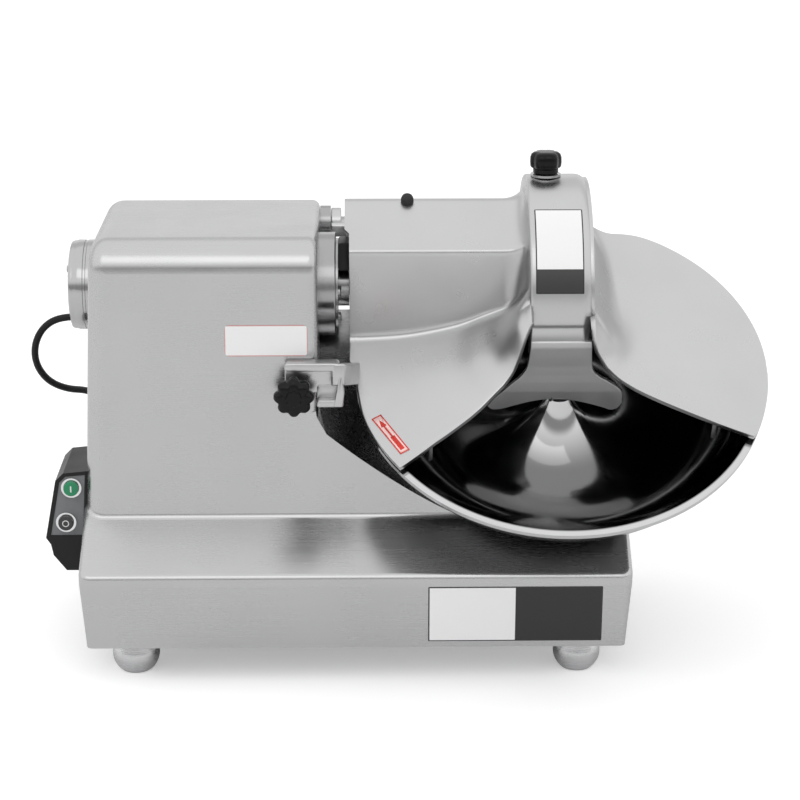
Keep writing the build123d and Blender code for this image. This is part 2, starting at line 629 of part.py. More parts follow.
cone_h = trough_h(CONE_TOP_R, TROUGH_R)
bowl = turned(
    Line((0, cone_h), (CONE_TOP_R, cone_h)),
    ThreePointArc((CONE_TOP_R, cone_h), (KNIFE_R, KNIFE_H - TROUGH_R), (rim_inner, 0)),
    Line((rim_inner, 0), (RIM_R, 0)),
    Line((RIM_R, 0), (RIM_R, -RIM_THICK)),
    Line((RIM_R, -RIM_THICK), (rim_under, -RIM_THICK)),
    ThreePointArc((rim_under, -RIM_THICK), (KNIFE_R, KNIFE_H - under_r),
                  (CONE_TOP_R, trough_h(CONE_TOP_R, under_r))),
    Line((CONE_TOP_R, trough_h(CONE_TOP_R, under_r)), (0, trough_h(CONE_TOP_R, under_r))),
    Line((0, trough_h(CONE_TOP_R, under_r)), (0, cone_h)),
)
ring_in = SPINDLE_R * 2
mid_wall = TROUGH_R + BOWL_WALL / 2
bowl_ring = turned_points([
    (ring_in, -BOWL_RING_DEPTH), (BOWL_RING_R, -BOWL_RING_DEPTH),
    (BOWL_RING_R, trough_h(BOWL_RING_R, mid_wall)), (ring_in, trough_h(ring_in, mid_wall)),
])
pin_mid = (ring_in + BOWL_RING_R) / 2
pin_spots = [BOWL * Pos(side * pin_mid, 0, -BOWL_RING_DEPTH) for side in (-1, 1)]
bowl = BOWL * (bowl + bowl_ring)
for spot in pin_spots:
    bowl = bowl - spot * Cylinder(DRIVE_PIN_R + 0.3, 12)
pieces["bowl"] = bowl

carrier = Pos(0, 0, -BOWL_RING_DEPTH - CARRIER_THICK / 2) * Cylinder(CARRIER_R, CARRIER_THICK)
carrier = carrier + Pos(0, 0, -BOWL_RING_DEPTH + 6) * Cylinder(ring_in - 0.3, 12)
carrier = BOWL * (carrier - Pos(0, 0, -BOWL_RING_DEPTH) * Cylinder(SPINDLE_R, 60))
for spot in pin_spots:
    carrier = carrier - spot * Cylinder(DRIVE_PIN_R, 30)
pieces["bowl_carrier"] = carrier
pieces["drive_pins"] = Compound([spot * Cylinder(DRIVE_PIN_R, 2 * CARRIER_THICK) for spot in pin_spots])
spindle_top = -BOWL_RING_DEPTH + 10
spindle_bottom = WORM_H - WHEEL_WIDTH / 2 - 4
spindle = Pos(0, 0, (spindle_top + spindle_bottom) / 2) * Cylinder(SPINDLE_R, spindle_top - spindle_bottom)
pieces["bowl_spindle"] = BOWL * spindle

tube_bottom = WORM_H + WHEEL_WIDTH / 2 + 4
spindle_tube = Pos(0, 0, (under_deck + tube_bottom) / 2) * Cylinder(SPINDLE_TUBE_R, under_deck - tube_bottom)
spindle_flange = Cylinder(SPINDLE_TUBE_R + 14, SPINDLE_FLANGE)
spindle_tube = spindle_tube + Pos(0, 0, under_deck - SPINDLE_FLANGE / 2) * spindle_flange
spindle_tube = spindle_tube - Pos(0, 0, under_deck) * Cylinder(SPINDLE_BEARING_R, 200)
flange_bolts = []
for k in range(4):
    place = flange_place(k)
    spindle_tube = spindle_tube - place * Cylinder(FLANGE_BOLT_R, 4 * SPINDLE_FLANGE)
    flange_bolts.append(BOWL * place * screw(FLANGE_BOLT_R * 2, 3, FLANGE_BOLT_R, FLANGE_BOLT_LENGTH))
pieces["spindle_housing"] = BOWL * spindle_tube
pieces["spindle_housing_bolts"] = Compound(flange_bolts)
bearing = Cylinder(SPINDLE_BEARING_R, BEARING_WIDTH) - Cylinder(SPINDLE_R + RUN_FIT, BEARING_WIDTH + 2)
pieces["spindle_bearings"] = Compound([
    BOWL * Pos(0, 0, h) * bearing
    for h in (under_deck - BEARING_WIDTH / 2, tube_bottom + BEARING_WIDTH / 2)])

# ------------------------------------------------------------------ knife shaft and knives
shaft_left = HUB_FACE_X + HUB_SOCKET + SOCKET_CLEAR
hub_half = KNIFE_HUB_WIDTH / 2
nut_width = 6.0
knife_shaft = rod(KNIFE_SHAFT_R, shaft_left, RIDGE_X + hub_half + nut_width, KNIFE_Y, KNIFE_Z)
socket_half = DRIVE_SQUARE / 2
square_socket = block(shaft_left - 1, shaft_left + DRIVE_DEPTH, KNIFE_Y - socket_half, KNIFE_Y + socket_half,
                      KNIFE_Z - socket_half, KNIFE_Z + socket_half)
pieces["knife_shaft"] = knife_shaft - square_socket
pieces["knife_pulley"] = pulley(KNIFE_Y, KNIFE_Z, KNIFE_SHAFT_R)
knife_mid = KNIFE_SPACING / 2
collars = []
for x0, x1 in ((-hub_half, -knife_mid - KNIFE_THICK / 2),
               (-knife_mid + KNIFE_THICK / 2, knife_mid - KNIFE_THICK / 2),
               (knife_mid + KNIFE_THICK / 2, hub_half)):
    collars.append(tube(KNIFE_HUB_R, KNIFE_SHAFT_R, RIDGE_X + x0, RIDGE_X + x1, KNIFE_Y, KNIFE_Z))
pieces["knife_collars"] = Compound(collars)
crescent = Circle(KNIFE_TIP_R) - Pos(KNIFE_TIP_R * 0.28, 0) * Circle(KNIFE_TIP_R * 0.94)
arm = Pos(-KNIFE_TIP_R * 0.4, 0) * Rectangle(KNIFE_TIP_R * 0.8, KNIFE_HUB_R * 1.5)
blade_outline = crescent + (arm & Circle(KNIFE_TIP_R - 1)) + Circle(KNIFE_HUB_R) - Circle(KNIFE_SHAFT_R)
blade = Rot(0, 90, 0) * extrude(blade_outline, KNIFE_THICK / 2, both=True)
knives = []
for side in (-1, 1):
    knives.append(Pos(RIDGE_X + side * knife_mid, KNIFE_Y, KNIFE_Z) * Rot(90 + 90 * side, 0, 0) * blade)
pieces["knives"] = Compound(knives)
nut = extrude(RegularPolygon(KNIFE_HUB_R * 0.75, 6), nut_width) - Cylinder(KNIFE_SHAFT_R, 40)
nut = Rot(0, 90, 0) * nut
pieces["knife_nut"] = Pos(RIDGE_X + hub_half, KNIFE_Y, KNIFE_Z) * nut

# Attachment hub with its bearing, on the left wall
hub_in = shaft_left + BEARING_WIDTH
hub = tube(HUB_R, HUB_BORE_R, HUB_FACE_X, hub_in, KNIFE_Y, KNIFE_Z)
hub = hub - rod(BEARING_SEAT_R, HUB_FACE_X + HUB_SOCKET, hub_in + 1, KNIFE_Y, KNIFE_Z)
hub_face_edges = hub.edges().filter_by(GeomType.CIRCLE).filter_by(
    lambda e: abs(e.center().X - HUB_FACE_X) < 0.1 and e.radius > HUB_R - 1)
hub = fillet(hub_face_edges, 2)
hub_screw_x = HUB_FACE_X + HUB_SCREW_PLACE
hub = hub - post(HUB_SCREW_R, hub_screw_x, KNIFE_Y, KNIFE_Z + HUB_BORE_R - 1, KNIFE_Z + HUB_R + 1)
pieces["attachment_hub"] = hub
hub_screw = screw(HUB_SCREW_R * 2, 4, HUB_SCREW_R, HUB_R - HUB_BORE_R)
pieces["hub_screw"] = Pos(hub_screw_x, KNIFE_Y, KNIFE_Z + HUB_R) * hub_screw
bearing_left = tube(BEARING_SEAT_R, KNIFE_SHAFT_R + RUN_FIT, shaft_left, hub_in, KNIFE_Y, KNIFE_Z)

# Bearing ring and its nose, on the right wall
ring_end = HOUSE_RIGHT + RING_WIDTH
ring = rod(RING_R, HOUSE_RIGHT, ring_end, KNIFE_Y, KNIFE_Z)
ring = fillet(ring.edges().filter_by(GeomType.CIRCLE).sort_by(Axis.X)[-1], 1.2)
ring = ring + rod(RING_LIP_R, ring_end, ring_end + RING_LIP, KNIFE_Y, KNIFE_Z)
ring = ring + rod(RING_TUBE_R, HOUSE_RIGHT - 12, HOUSE_RIGHT, KNIFE_Y, KNIFE_Z)
ring = ring - rod(BEARING_R, HOUSE_RIGHT - 13, ring_end - 4, KNIFE_Y, KNIFE_Z)
ring = ring - rod(KNIFE_SHAFT_R + 1, HOUSE_RIGHT - 13, ring_end + 9, KNIFE_Y, KNIFE_Z)
ring_screws = []
for k in range(4):
    spot = Pos(ring_end + RING_LIP, KNIFE_Y, KNIFE_Z) * Rot(90 * k, 0, 0)
    spot = spot * Pos(0, 0, RING_SCREW_PLACE) * Rot(0, 90, 0)
    screw_hole = spot * Cylinder(RING_SCREW_R, 2 * RING_SCREW_LENGTH)
    ring = ring - screw_hole
    ring_screws.append(spot * screw(RING_SCREW_R * 1.8, 2.5, RING_SCREW_R, RING_SCREW_LENGTH))
    pieces["casing_shell"] = pieces["casing_shell"] - screw_hole
pieces["bearing_ring"] = ring
pieces["ring_screws"] = Compound(ring_screws)
bearing_right = tube(BEARING_R, KNIFE_SHAFT_R + RUN_FIT, HOUSE_RIGHT - 5, ring_end - 4, KNIFE_Y, KNIFE_Z)
pieces["knife_bearings"] = Compound([bearing_left, bearing_right])
nose = tube(NOSE_R, KNIFE_SHAFT_R + RUN_FIT, ring_end + RING_LIP, NOSE_END_X, KNIFE_Y, KNIFE_Z)
pieces["seal_nose"] = nose

# Interlock switch over the ring's lip
switch_bottom = KNIFE_Z + NOSE_R + 1
switch = block(ring_end + RING_LIP + 0.2, TUNNEL_LEFT + SWITCH_REACH, KNIFE_Y - 38, KNIFE_Y - 12,
               switch_bottom, switch_bottom + 25)
switch = fillet(switch.edges().filter_by(Axis.Y), 1.5)
pieces["interlock_switch"] = switch

# ------------------------------------------------------------------ lid


def hat(inset):
    """The two wings as one turned form that rises towards the middle, in the bowl frame."""
    curve = [(rho - HAT_SHARE_RHO * inset, h - HAT_SHARE_H * inset) for rho, h in HAT_POINTS]
    edge_r = curve[-1][0]
    top = curve[0][1]
    return turned(
        Spline(*curve),
        Line(curve[-1], (edge_r, LID_GAP - inset)),
        Line((edge_r, LID_GAP - inset), (0, LID_GAP - inset)),
        Line((0, LID_GAP - inset), (0, top)),
        Line((0, top), curve[0]),
    )


def tunnel(inset, left):
    """Cover of the knife shaft, from its left end to the ridge, in the bowl frame."""
    floor_h = TUNNEL_FLOOR_H - inset
    lean = inset * 1.1
    outline = [
        (TUNNEL_FRONT_FOOT + lean, floor_h),
        (TUNNEL_FRONT_KNEE + lean, TUNNEL_KNEE_H - inset / 2),
        (TUNNEL_FRONT_TOP + inset / 2, TUNNEL_TOP_H - inset),
        (TUNNEL_BACK_TOP - inset / 2, TUNNEL_TOP_H - inset),
        (TUNNEL_BACK_FOOT - lean, floor_h),
    ]
    return side_prism(outline, left, RIDGE_X - RIDGE_WIDTH / 2)


ridge_left = RIDGE_X - RIDGE_WIDTH / 2
ridge_right = RIDGE_X + RIDGE_WIDTH / 2
ridge = rod(RIDGE_R, ridge_left, ridge_right, KNIFE_R, KNIFE_H)
ridge_rims = ridge.edges().filter_by(GeomType.CIRCLE).sort_by(Axis.X)
ridge = fillet(ridge_rims[-1], RIDGE_RIGHT_ROUND)
ridge_rims = ridge.edges().filter_by(GeomType.CIRCLE).sort_by(Axis.X)
ridge = fillet(ridge_rims[0], RIDGE_LEFT_ROUND)
ridge = ridge - Pos(0, 0, RIDGE_FOOT_H - BIG) * Box(2 * BIG, 2 * BIG, 2 * BIG)
hat_cut = Pos(0, LID_BACK_R + BIG, 0) * Box(2 * BIG, 2 * BIG, 2 * BIG)
hat_cut = hat_cut + block(ridge_left, ridge_right, -BIG, BIG, -BIG, BIG)
apron = block(TUNNEL_LEFT, TUNNEL_LEFT + 40, APRON_FRONT_R, TUNNEL_FRONT_FOOT + 4,
              LID_GAP + 3, TUNNEL_FLOOR_H)
lid_outer = (hat(0) - hat_cut) + ridge + tunnel(0, TUNNEL_LEFT) + apron
room = rod(RIDGE_R - LID_WALL, ridge_left + LID_WALL, ridge_right - LID_WALL, KNIFE_R, KNIFE_H)
lid_inner = (hat(LID_WALL) - hat_cut) + room + tunnel(LID_WALL, TUNNEL_LEFT - 10)
far_front = (0, -3 * RIM_R)
mouth = Plane.XY * make_face(Polyline(*MOUTH_LEFT_EDGE, far_front, *reversed(MOUTH_RIGHT_EDGE), close=True))
mouth = extrude(mouth, BIG, both=True)
# The lid swings up past the shaft, so its slot is open below and goes on through the lid's edge
slot_front = KNIFE_R - KNIFE_SHAFT_R - SLOT_SWING
slot_back = KNIFE_R + KNIFE_SHAFT_R + SLOT_CLEAR
shaft_slot = rod(KNIFE_SHAFT_R + SLOT_CLEAR, ridge_left - 1, ridge_left + LID_WALL + 1, KNIFE_R, KNIFE_H)
shaft_slot = shaft_slot + block(ridge_left - 1, ridge_left + LID_WALL + 1, slot_front, slot_back,
                                -20, KNIFE_H)
shaft_slot = shaft_slot + block(TUNNEL_LEFT - 1, ridge_left, slot_front, slot_back,
                                -20, TUNNEL_FLOOR_H - LID_WALL)
lid = lid_outer - lid_inner - mouth - shaft_slot
for angle in TAB_ANGLES:
    under_edge = LID_EDGE_H + 1
    tab = block(TAB_RHO - 2, TAB_RHO + 2, -TAB_WIDTH / 2, TAB_WIDTH / 2, TAB_BOTTOM_H, under_edge)
    lid = lid + Rot(0, 0, angle) * tab
lid = BOWL * lid

# Hinge arm and knuckle of the lid
arm_right = TUNNEL_LEFT + 14
arm = block(KNUCKLE_LEFT, arm_right, HINGE_Y - 24, HINGE_Y,
            HINGE_Z - KNUCKLE_R * 0.7, HINGE_Z + KNUCKLE_R * 0.3)
knuckle = rod(KNUCKLE_R, KNUCKLE_LEFT, KNUCKLE_LEFT + KNUCKLE_WIDTH, HINGE_Y, HINGE_Z)
lid = lid + arm + knuckle
lid = lid - rod(HINGE_PIN_R + RUN_FIT, KNUCKLE_LEFT - 1, arm_right, HINGE_Y, HINGE_Z)

# Lug in front of the housing, with the recess for the clamp knob
lug_back = FRONT_Y - LUG_GAP
web_front = lug_back - WEB
lug = block(LUG_LEFT, LUG_ARM_LEFT, LUG_FRONT_Y, lug_back, LUG_BOTTOM_Z, LUG_TOP_Z)
lug = fillet(lug.edges().filter_by(Axis.Y), 3)
recess = block(LUG_LEFT - 5, LUG_ARM_LEFT - LUG_BORDER, LUG_FRONT_Y - 1, web_front,
               LUG_BOTTOM_Z + LUG_RIM, LUG_TOP_Z - LUG_LEDGE)
foot_cut = block(LUG_LEFT - 5, CLAMP_X + CLAMP_KNOB_R + 1.5, LUG_FRONT_Y - 1, web_front, -60, CLAMP_Z)
lug = lug - recess - foot_cut
lug_arm = block(LUG_ARM_LEFT - 6, LUG_ARM_RIGHT, LUG_FRONT_Y + 4, FRONT_Y + 4,
                LUG_BOTTOM_Z - 8, LUG_BOTTOM_Z + 20)
lug_arm = lug_arm - block(-BIG, HOUSE_RIGHT + 4, lug_back, BIG, -BIG, BIG) - BOWL * hat(LID_WALL * 0.9)
lid = lid + lug + lug_arm
clamp_axis = Pos(CLAMP_X, 0, CLAMP_Z) * Rot(90, 0, 0)
lid = lid - clamp_axis * Cylinder(CLAMP_SCREW_R + RUN_FIT, 3 * abs(LUG_FRONT_Y))
lid = lid - post(TOP_SCREW_R + RUN_FIT, TOP_KNOB_X, KNIFE_Y, KNIFE_Z + RIDGE_R - 10, KNIFE_Z + RIDGE_R + 10)
pieces["lid_shell"] = lid

# Guard under the ridge's foot, with comb fingers between the knives
guard_points = [
    (-63, -26), (-49, -8), (-33, 10), (26, 10), (36, 4), (49, -4), (54.5, -15), (52, -29), (45, -34),
    (38, -30), (22, -21), (5, -15), (-12, -15), (-24, -17), (-36, -22.5), (-49, -30), (-61, -33),
]
guard = front_prism(guard_points, GUARD_R, GUARD_R + GUARD_THICK)
flange_bottom = RIDGE_FOOT_H - GUARD_THICK
guard = guard + block(ridge_left, ridge_right, GUARD_R, FLANGE_BACK_R, flange_bottom, RIDGE_FOOT_H)
for centre in (-COMB_SPACING, 0, COMB_SPACING):
    guard = guard + block(RIDGE_X + centre - COMB_THICK / 2, RIDGE_X + centre + COMB_THICK / 2,
                          GUARD_R + 1, KNIFE_R - KNIFE_HUB_R - 8, RIDGE_FOOT_H - 10, RIDGE_FOOT_H - 1)
pin_r = GUARD_R + GUARD_THICK / 2
guard = guard + post(GUARD_PIN_R, GUARD_PIN_X, pin_r, GUARD_PIN_BOTTOM, GUARD_PIN_BOTTOM + 12)
comb_screws = []
for x in (RIDGE_X - COMB_SCREW_PLACE, RIDGE_X + COMB_SCREW_PLACE):
    spot = Pos(x, KNIFE_R - RIDGE_R + LID_WALL / 2 + 1.2, RIDGE_FOOT_H - GUARD_THICK) * Rot(180, 0, 0)
    hole = spot * Cylinder(COMB_SCREW_R, 2 * COMB_SCREW_LENGTH)
    guard = guard - hole
    pieces["lid_shell"] = pieces["lid_shell"] - BOWL * hole
    comb_screws.append(BOWL * spot * screw(COMB_SCREW_R * 2, 2, COMB_SCREW_R, COMB_SCREW_LENGTH))
pieces["comb_guard"] = BOWL * guard
pieces["comb_screws"] = Compound(comb_screws)
pieces["rear_bumper"] = BOWL * Pos(BUMPER_X, TUNNEL_BACK_TOP - BUMPER_R - 1, TUNNEL_TOP_H) * (
    Sphere(BUMPER_R) & (Pos(0, 0, BUMPER_R) * Box(40, 40, 2 * BUMPER_R)))

# ------------------------------------------------------------------ lid hinge on the casing
boss_right = KNUCKLE_LEFT - 0.5
pieces["hinge_boss"] = tube(HINGE_BOSS_R, HINGE_PIN_R, HOUSE_RIGHT, boss_right, HINGE_Y, HINGE_Z)
pieces["hinge_pin"] = rod(HINGE_PIN_R, HOUSE_RIGHT - 14, TUNNEL_LEFT + 6, HINGE_Y, HINGE_Z)


# ------------------------------------------------------------------ knobs
def star_knob(radius, height, lobes, bore):
    """Lobed knob on the XY plane, front upwards, with a blind bore from below."""
    outline = Circle(radius)
    notch = radius * math.pi / lobes * 0.42
    for k in range(lobes):
        outline = outline - Rot(0, 0, 360 * (k + 0.5) / lobes) * Pos(radius + notch * 0.45, 0) * Circle(notch)
    knob = extrude(outline, height)
    knob = fillet(knob.edges().group_by(Axis.Z)[-1], 1.5)
    return knob - Cylinder(bore, 2 * (height * KNOB_BORE_SHARE + RUN_FIT))


knob_back = web_front - CLAMP_TRAVEL - 0.3
clamp_head = star_knob(CLAMP_KNOB_R, CLAMP_KNOB_HEIGHT, CLAMP_LOBES, CLAMP_SCREW_R + RUN_FIT)
pieces["clamp_knob"] = Pos(CLAMP_X, knob_back, CLAMP_Z) * Rot(90, 0, 0) * clamp_head
clamp_tip = FRONT_Y - 0.5
clamp_tail = knob_back - CLAMP_KNOB_HEIGHT * KNOB_BORE_SHARE
clamp_middle = (clamp_tip + clamp_tail) / 2
pieces["clamp_screw"] = Pos(CLAMP_X, clamp_middle, CLAMP_Z) * Rot(90, 0, 0) * Cylinder(
    CLAMP_SCREW_R, clamp_tip - clamp_tail)
bushing = Cylinder(BUSHING_R, CLAMP_TRAVEL + 4) - Cylinder(CLAMP_SCREW_R + 0.3, 40)
pieces["clamp_bushing"] = Pos(CLAMP_X, FRONT_Y + CLAMP_TRAVEL / 2 + 2, CLAMP_Z) * Rot(90, 0, 0) * bushing

top_seat = KNIFE_Z + RIDGE_R
top_washer = Pos(TOP_KNOB_X, KNIFE_Y, top_seat + 1.2) * (
    Cylinder(TOP_KNOB_R * 0.95, 2) - Cylinder(TOP_SCREW_R + RUN_FIT, 9))
pieces["top_washer"] = top_washer
knob_seat = top_seat + 2.6
top_head = star_knob(TOP_KNOB_R, TOP_KNOB_HEIGHT, TOP_LOBES, TOP_SCREW_R + RUN_FIT)
neck = Cylinder(TOP_KNOB_R * 0.8, TOP_NECK) - Cylinder(TOP_SCREW_R + RUN_FIT, 40)
pieces["top_knob"] = Pos(TOP_KNOB_X, KNIFE_Y, knob_seat + TOP_NECK) * top_head + (
    Pos(TOP_KNOB_X, KNIFE_Y, knob_seat + TOP_NECK / 2) * neck)
top_screw_end = knob_seat + TOP_NECK + TOP_KNOB_HEIGHT * KNOB_BORE_SHARE
pieces["top_screw"] = post(TOP_SCREW_R, TOP_KNOB_X, KNIFE_Y, top_seat - 6, top_screw_end)

# ------------------------------------------------------------------ control box
box_outline = [
    (left_wall(BOX_TOP_Z), BOX_TOP_Z), (BOX_LEFT + 17, BOX_TOP_Z - 2), (BOX_LEFT + 10, BOX_TOP_Z - 9),
    (BOX_LEFT, BOX_TOP_Z - 61), (BOX_LEFT + 4, BOX_TOP_Z - 67), (BOX_LEFT + 6, BOX_TOP_Z - 77),
    (BOX_LEFT + 17, BOX_BOTTOM_Z), (left_wall(BOX_BOTTOM_Z), BOX_BOTTOM_Z), (left_wall(BAND_Z), BAND_Z),
]
box = front_prism(box_outline, BOX_FRONT_Y, BOX_FRONT_Y + BOX_DEPTH)
panel_outline = [
    (left_wall(BOX_TOP_Z) - 2, BOX_TOP_Z - 3.5), (BOX_LEFT + 19, BOX_TOP_Z - 5),
    (BOX_LEFT + 13.5, BOX_TOP_Z - 10.5), (BOX_LEFT + 4.5, BOX_TOP_Z - 58.5),
    (left_wall(BAND_Z) - 2, BOX_TOP_Z - 58.5),
]
box = box - front_prism(panel_outline, BOX_FRONT_Y - 1, BOX_FRONT_Y + BOX_DEPTH - 6)
pieces["control_box"] = box - pieces["casing_shell"]
panel = front_prism(panel_outline, BOX_FRONT_Y + 0.5, BOX_FRONT_Y + 3.5)
bezels = []
for place in (START_PLACE, STOP_PLACE):
    spot = Pos(place[0], BOX_FRONT_Y + 0.5, place[1]) * Rot(90, 0, 0)
    panel = panel - spot * Cylinder(BEZEL_R - 1.2, 20)
    bezel = Pos(0, 0, 1) * Cylinder(BEZEL_R, 2) + Pos(0, 0, -3) * Cylinder(BEZEL_R - 1.2, 8)
    bezels.append(spot * (bezel - Cylinder(BUTTON_R + 0.3, 60)))
    button = Pos(0, 0, (2 + BUTTON_PROUD - 4) / 2) * Cylinder(BUTTON_R, 6 + BUTTON_PROUD)
    button = fillet(button.edges().group_by(Axis.Z)[-1], 0.8)
    name = "start_button" if place == START_PLACE else "stop_button"
    pieces[name] = spot * button
pieces["control_panel"] = panel
pieces["button_bezels"] = Compound(bezels)

# ------------------------------------------------------------------ mains lead
gland_x = left_wall(CORD_EXIT_Z - GLAND_R)
gland_y = CORD_EXIT_Y
gland_z = CORD_EXIT_Z
gland = rod(CORD_D / 2 + 2.9, gland_x, gland_x + 12, gland_y, gland_z)
gland = gland + rod(GLAND_R, gland_x - 4, gland_x, gland_y, gland_z)
relief = Cone(GLAND_R * 0.8, CORD_D / 2 + 0.6, GLAND_LENGTH)
gland = gland + Pos(gland_x - 4 - GLAND_LENGTH / 2, gland_y, gland_z) * Rot(0, -90, 0) * relief
pieces["cord_gland"] = gland
cord_start = (gland_x - 4 - GLAND_LENGTH, gland_y, gland_z)
cord_route = [cord_start] + [(LEFT_X + x, y, z) for x, y, z in CORD_ROUTE]


def corner_radii(points):
    """Radius of the arc at each corner of a cord's route."""
    radii = []
    for before, here, after in zip(points, points[1:], points[2:]):
        first = Vector(*here) - Vector(*before)
        second = Vector(*after) - Vector(*here)
        turn = math.radians(first.get_angle(second))
        radii.append(0.45 * min(first.length, second.length) / math.tan(turn / 2))
    return radii


radii = corner_radii(cord_route)
print("cord radii", [round(r) for r in radii])
print("cord runs", [round((Vector(*b) - Vector(*a)).length) for a, b in zip(cord_route, cord_route[1:])])
cord_path = FilletPolyline(*cord_route, radius=radii)
cord_section = Plane(origin=cord_path @ 0, z_dir=cord_path % 0) * Circle(CORD_D / 2)
cord_tube = sweep(cord_section, path=cord_path)
plain_volume = cord_path.length * math.pi * CORD_D ** 2 / 4
print("cord length", cord_path.length, "volume share", cord_tube.volume / plain_volume)
pieces["cord_tube"] = cord_tube
coil = Cylinder(COIL_R, COIL_HEIGHT) - Cylinder(COIL_HOLE_R, COIL_HEIGHT + 2)
pieces["cord_coil"] = Pos(*COIL_CENTRE, FLOOR_Z + COIL_HEIGHT / 2) * coil
plug_y = COIL_CENTRE[1] - COIL_R + CORD_D / 2 + 0.6
plug_x = COIL_CENTRE[0] + COIL_R + 6
plug_z = FLOOR_Z + PLUG_HEIGHT / 2
plug = block(plug_x, plug_x + PLUG_LENGTH, plug_y - PLUG_WIDTH / 2, plug_y + PLUG_WIDTH / 2,
             FLOOR_Z, FLOOR_Z + PLUG_HEIGHT)
plug = fillet(plug.edges(), 3)
tail_left = COIL_CENTRE[0] + COIL_R * 0.44
plug_relief = Cone(CORD_D / 2 + 0.6, PLUG_HEIGHT * 0.36, plug_x + 1 - tail_left)
plug = plug + Pos((plug_x + 1 + tail_left) / 2, plug_y, plug_z) * Rot(0, 90, 0) * plug_relief
pieces["plug_body"] = plug
prongs = []
for side in (-1, 1):
    prongs.append(block(plug_x + PLUG_LENGTH, plug_x + PLUG_LENGTH + 17, plug_y + side * 6.35 - 0.75,
                        plug_y + side * 6.35 + 0.75, plug_z - 4.5, plug_z + 2))
prongs.append(rod(2.4, plug_x + PLUG_LENGTH, plug_x + PLUG_LENGTH + 20, plug_y, plug_z + 5.5))
pieces["plug_prongs"] = Compound(prongs)


# ------------------------------------------------------------------ the machine's own frame
CORD_PIECES = ("cord_gland", "cord_tube", "cord_coil", "plug_body", "plug_prongs")
machine_boxes = [shape.bounding_box() for name, shape in pieces.items() if name not in CORD_PIECES]
middle_of_x = (min(box.min.X for box in machine_boxes) + max(box.max.X for box in machine_boxes)) / 2
middle_of_y = (min(box.min.Y for box in machine_boxes) + max(box.max.Y for box in machine_boxes)) / 2
ORIGIN_SHIFT = (-middle_of_x, -middle_of_y, -FLOOR_Z)

for name, shape in pieces.items():
    moved = Pos(*ORIGIN_SHIFT) * shape
    export_step(moved, f"parts/{name}.step")
    print(name, round(moved.volume), len(moved.solids()), moved.is_valid)
print("lid opens", LID_OPEN, "degrees about Y", HINGE_Y, "Z", HINGE_Z)
print("knob turns", CLAMP_TRAVEL / THREAD_PITCH, TOP_KNOB_TRAVEL / THREAD_PITCH, "button travel", BUTTON_TRAVEL)
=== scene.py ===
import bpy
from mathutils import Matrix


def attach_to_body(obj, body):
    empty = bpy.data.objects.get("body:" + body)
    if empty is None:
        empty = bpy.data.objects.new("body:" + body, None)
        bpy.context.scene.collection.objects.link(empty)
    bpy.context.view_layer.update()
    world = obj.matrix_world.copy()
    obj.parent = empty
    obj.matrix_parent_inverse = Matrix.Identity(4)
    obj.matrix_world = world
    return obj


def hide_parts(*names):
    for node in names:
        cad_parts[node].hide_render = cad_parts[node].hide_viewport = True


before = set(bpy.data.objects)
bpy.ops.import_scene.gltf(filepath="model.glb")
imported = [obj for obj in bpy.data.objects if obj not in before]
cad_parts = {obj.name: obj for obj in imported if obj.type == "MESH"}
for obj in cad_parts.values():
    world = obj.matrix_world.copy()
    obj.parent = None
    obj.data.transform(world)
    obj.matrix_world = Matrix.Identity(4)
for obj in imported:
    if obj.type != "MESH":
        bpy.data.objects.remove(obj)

"""Dresses the bowl cutter: cast lid, guard, knobs, hub, switches, stickers, mains lead, finishes and studio.

Two frames are used. The machine frame has its origin at the middle of the bowl's rim, in millimetres, X to the
right, Y to the back, Z up. The bowl frame is the same point tilted towards the operator: x, r up the rim, h along
the bowl's axis. Both are turned into the row's frame, in metres, when a mesh is made.
"""
import logging
import math
from dataclasses import dataclass
from enum import Enum
from functools import cache
from typing import Callable, Iterable, Sequence

import bmesh
import bpy
import numpy as np

Array = np.ndarray
Piece = bpy.types.Object
Socket = bpy.types.NodeSocket
Place = Sequence[float]
Points = Sequence[Sequence[float]]

LOG = logging.getLogger("bowl_cutter")
MM = 0.001
TILT = math.radians(32.0)
SHIFT = np.array([133.95, -6.2357, 246.0])

KNIFE_R = 88.5
KNIFE_H = 21.5
KNIFE_AXIS = np.array([KNIFE_R, KNIFE_H])
KNIFE_Y = KNIFE_R * math.cos(TILT) - KNIFE_H * math.sin(TILT)
KNIFE_Z = KNIFE_R * math.sin(TILT) + KNIFE_H * math.cos(TILT)
FRONT_Y = -43.7
BASE_FRONT = -99.0
RIDGE_LEFT = -29.0
RIDGE_RIGHT = 26.0
RIDGE_RADIUS = 96.0
RIDGE_SKIN = 3.0
LID_RADIUS = 178.5
STICKER_LIFT = 0.32
OPEN_EDGE_ANGLE = math.radians(55)
SHARP_ANGLE = 38.0
NOISE_LOW, NOISE_HIGH = 0.3, 0.7
SPAN_SAMPLES = 40
LONGEST_CORNER = 0.45


class Axis(Enum):
    """Direction along which a turned or lofted piece runs."""

    X = 0
    Y = 1
    Z = 2


# ---- frames


def from_machine(points: Array) -> Array:
    """Machine frame in millimetres to the row's frame in metres."""
    return (np.asarray(points, float) + SHIFT) * MM


def bowl_to_machine(x: Array, r: Array, h: Array) -> Array:
    """Bowl frame to machine frame.

    y = r cos(tilt) - h sin(tilt), z = r sin(tilt) + h cos(tilt).

    Args:
        x: places across.
        r: places up the rim plane.
        h: heights over the rim plane.

    Returns:
        Points with a last axis of x, y, z.
    """
    x, r, h = np.broadcast_arrays(np.asarray(x, float), np.asarray(r, float), np.asarray(h, float))
    y = r * math.cos(TILT) - h * math.sin(TILT)
    z = r * math.sin(TILT) + h * math.cos(TILT)
    return np.stack([x, y, z], axis=-1)


# ---- curves as arrays


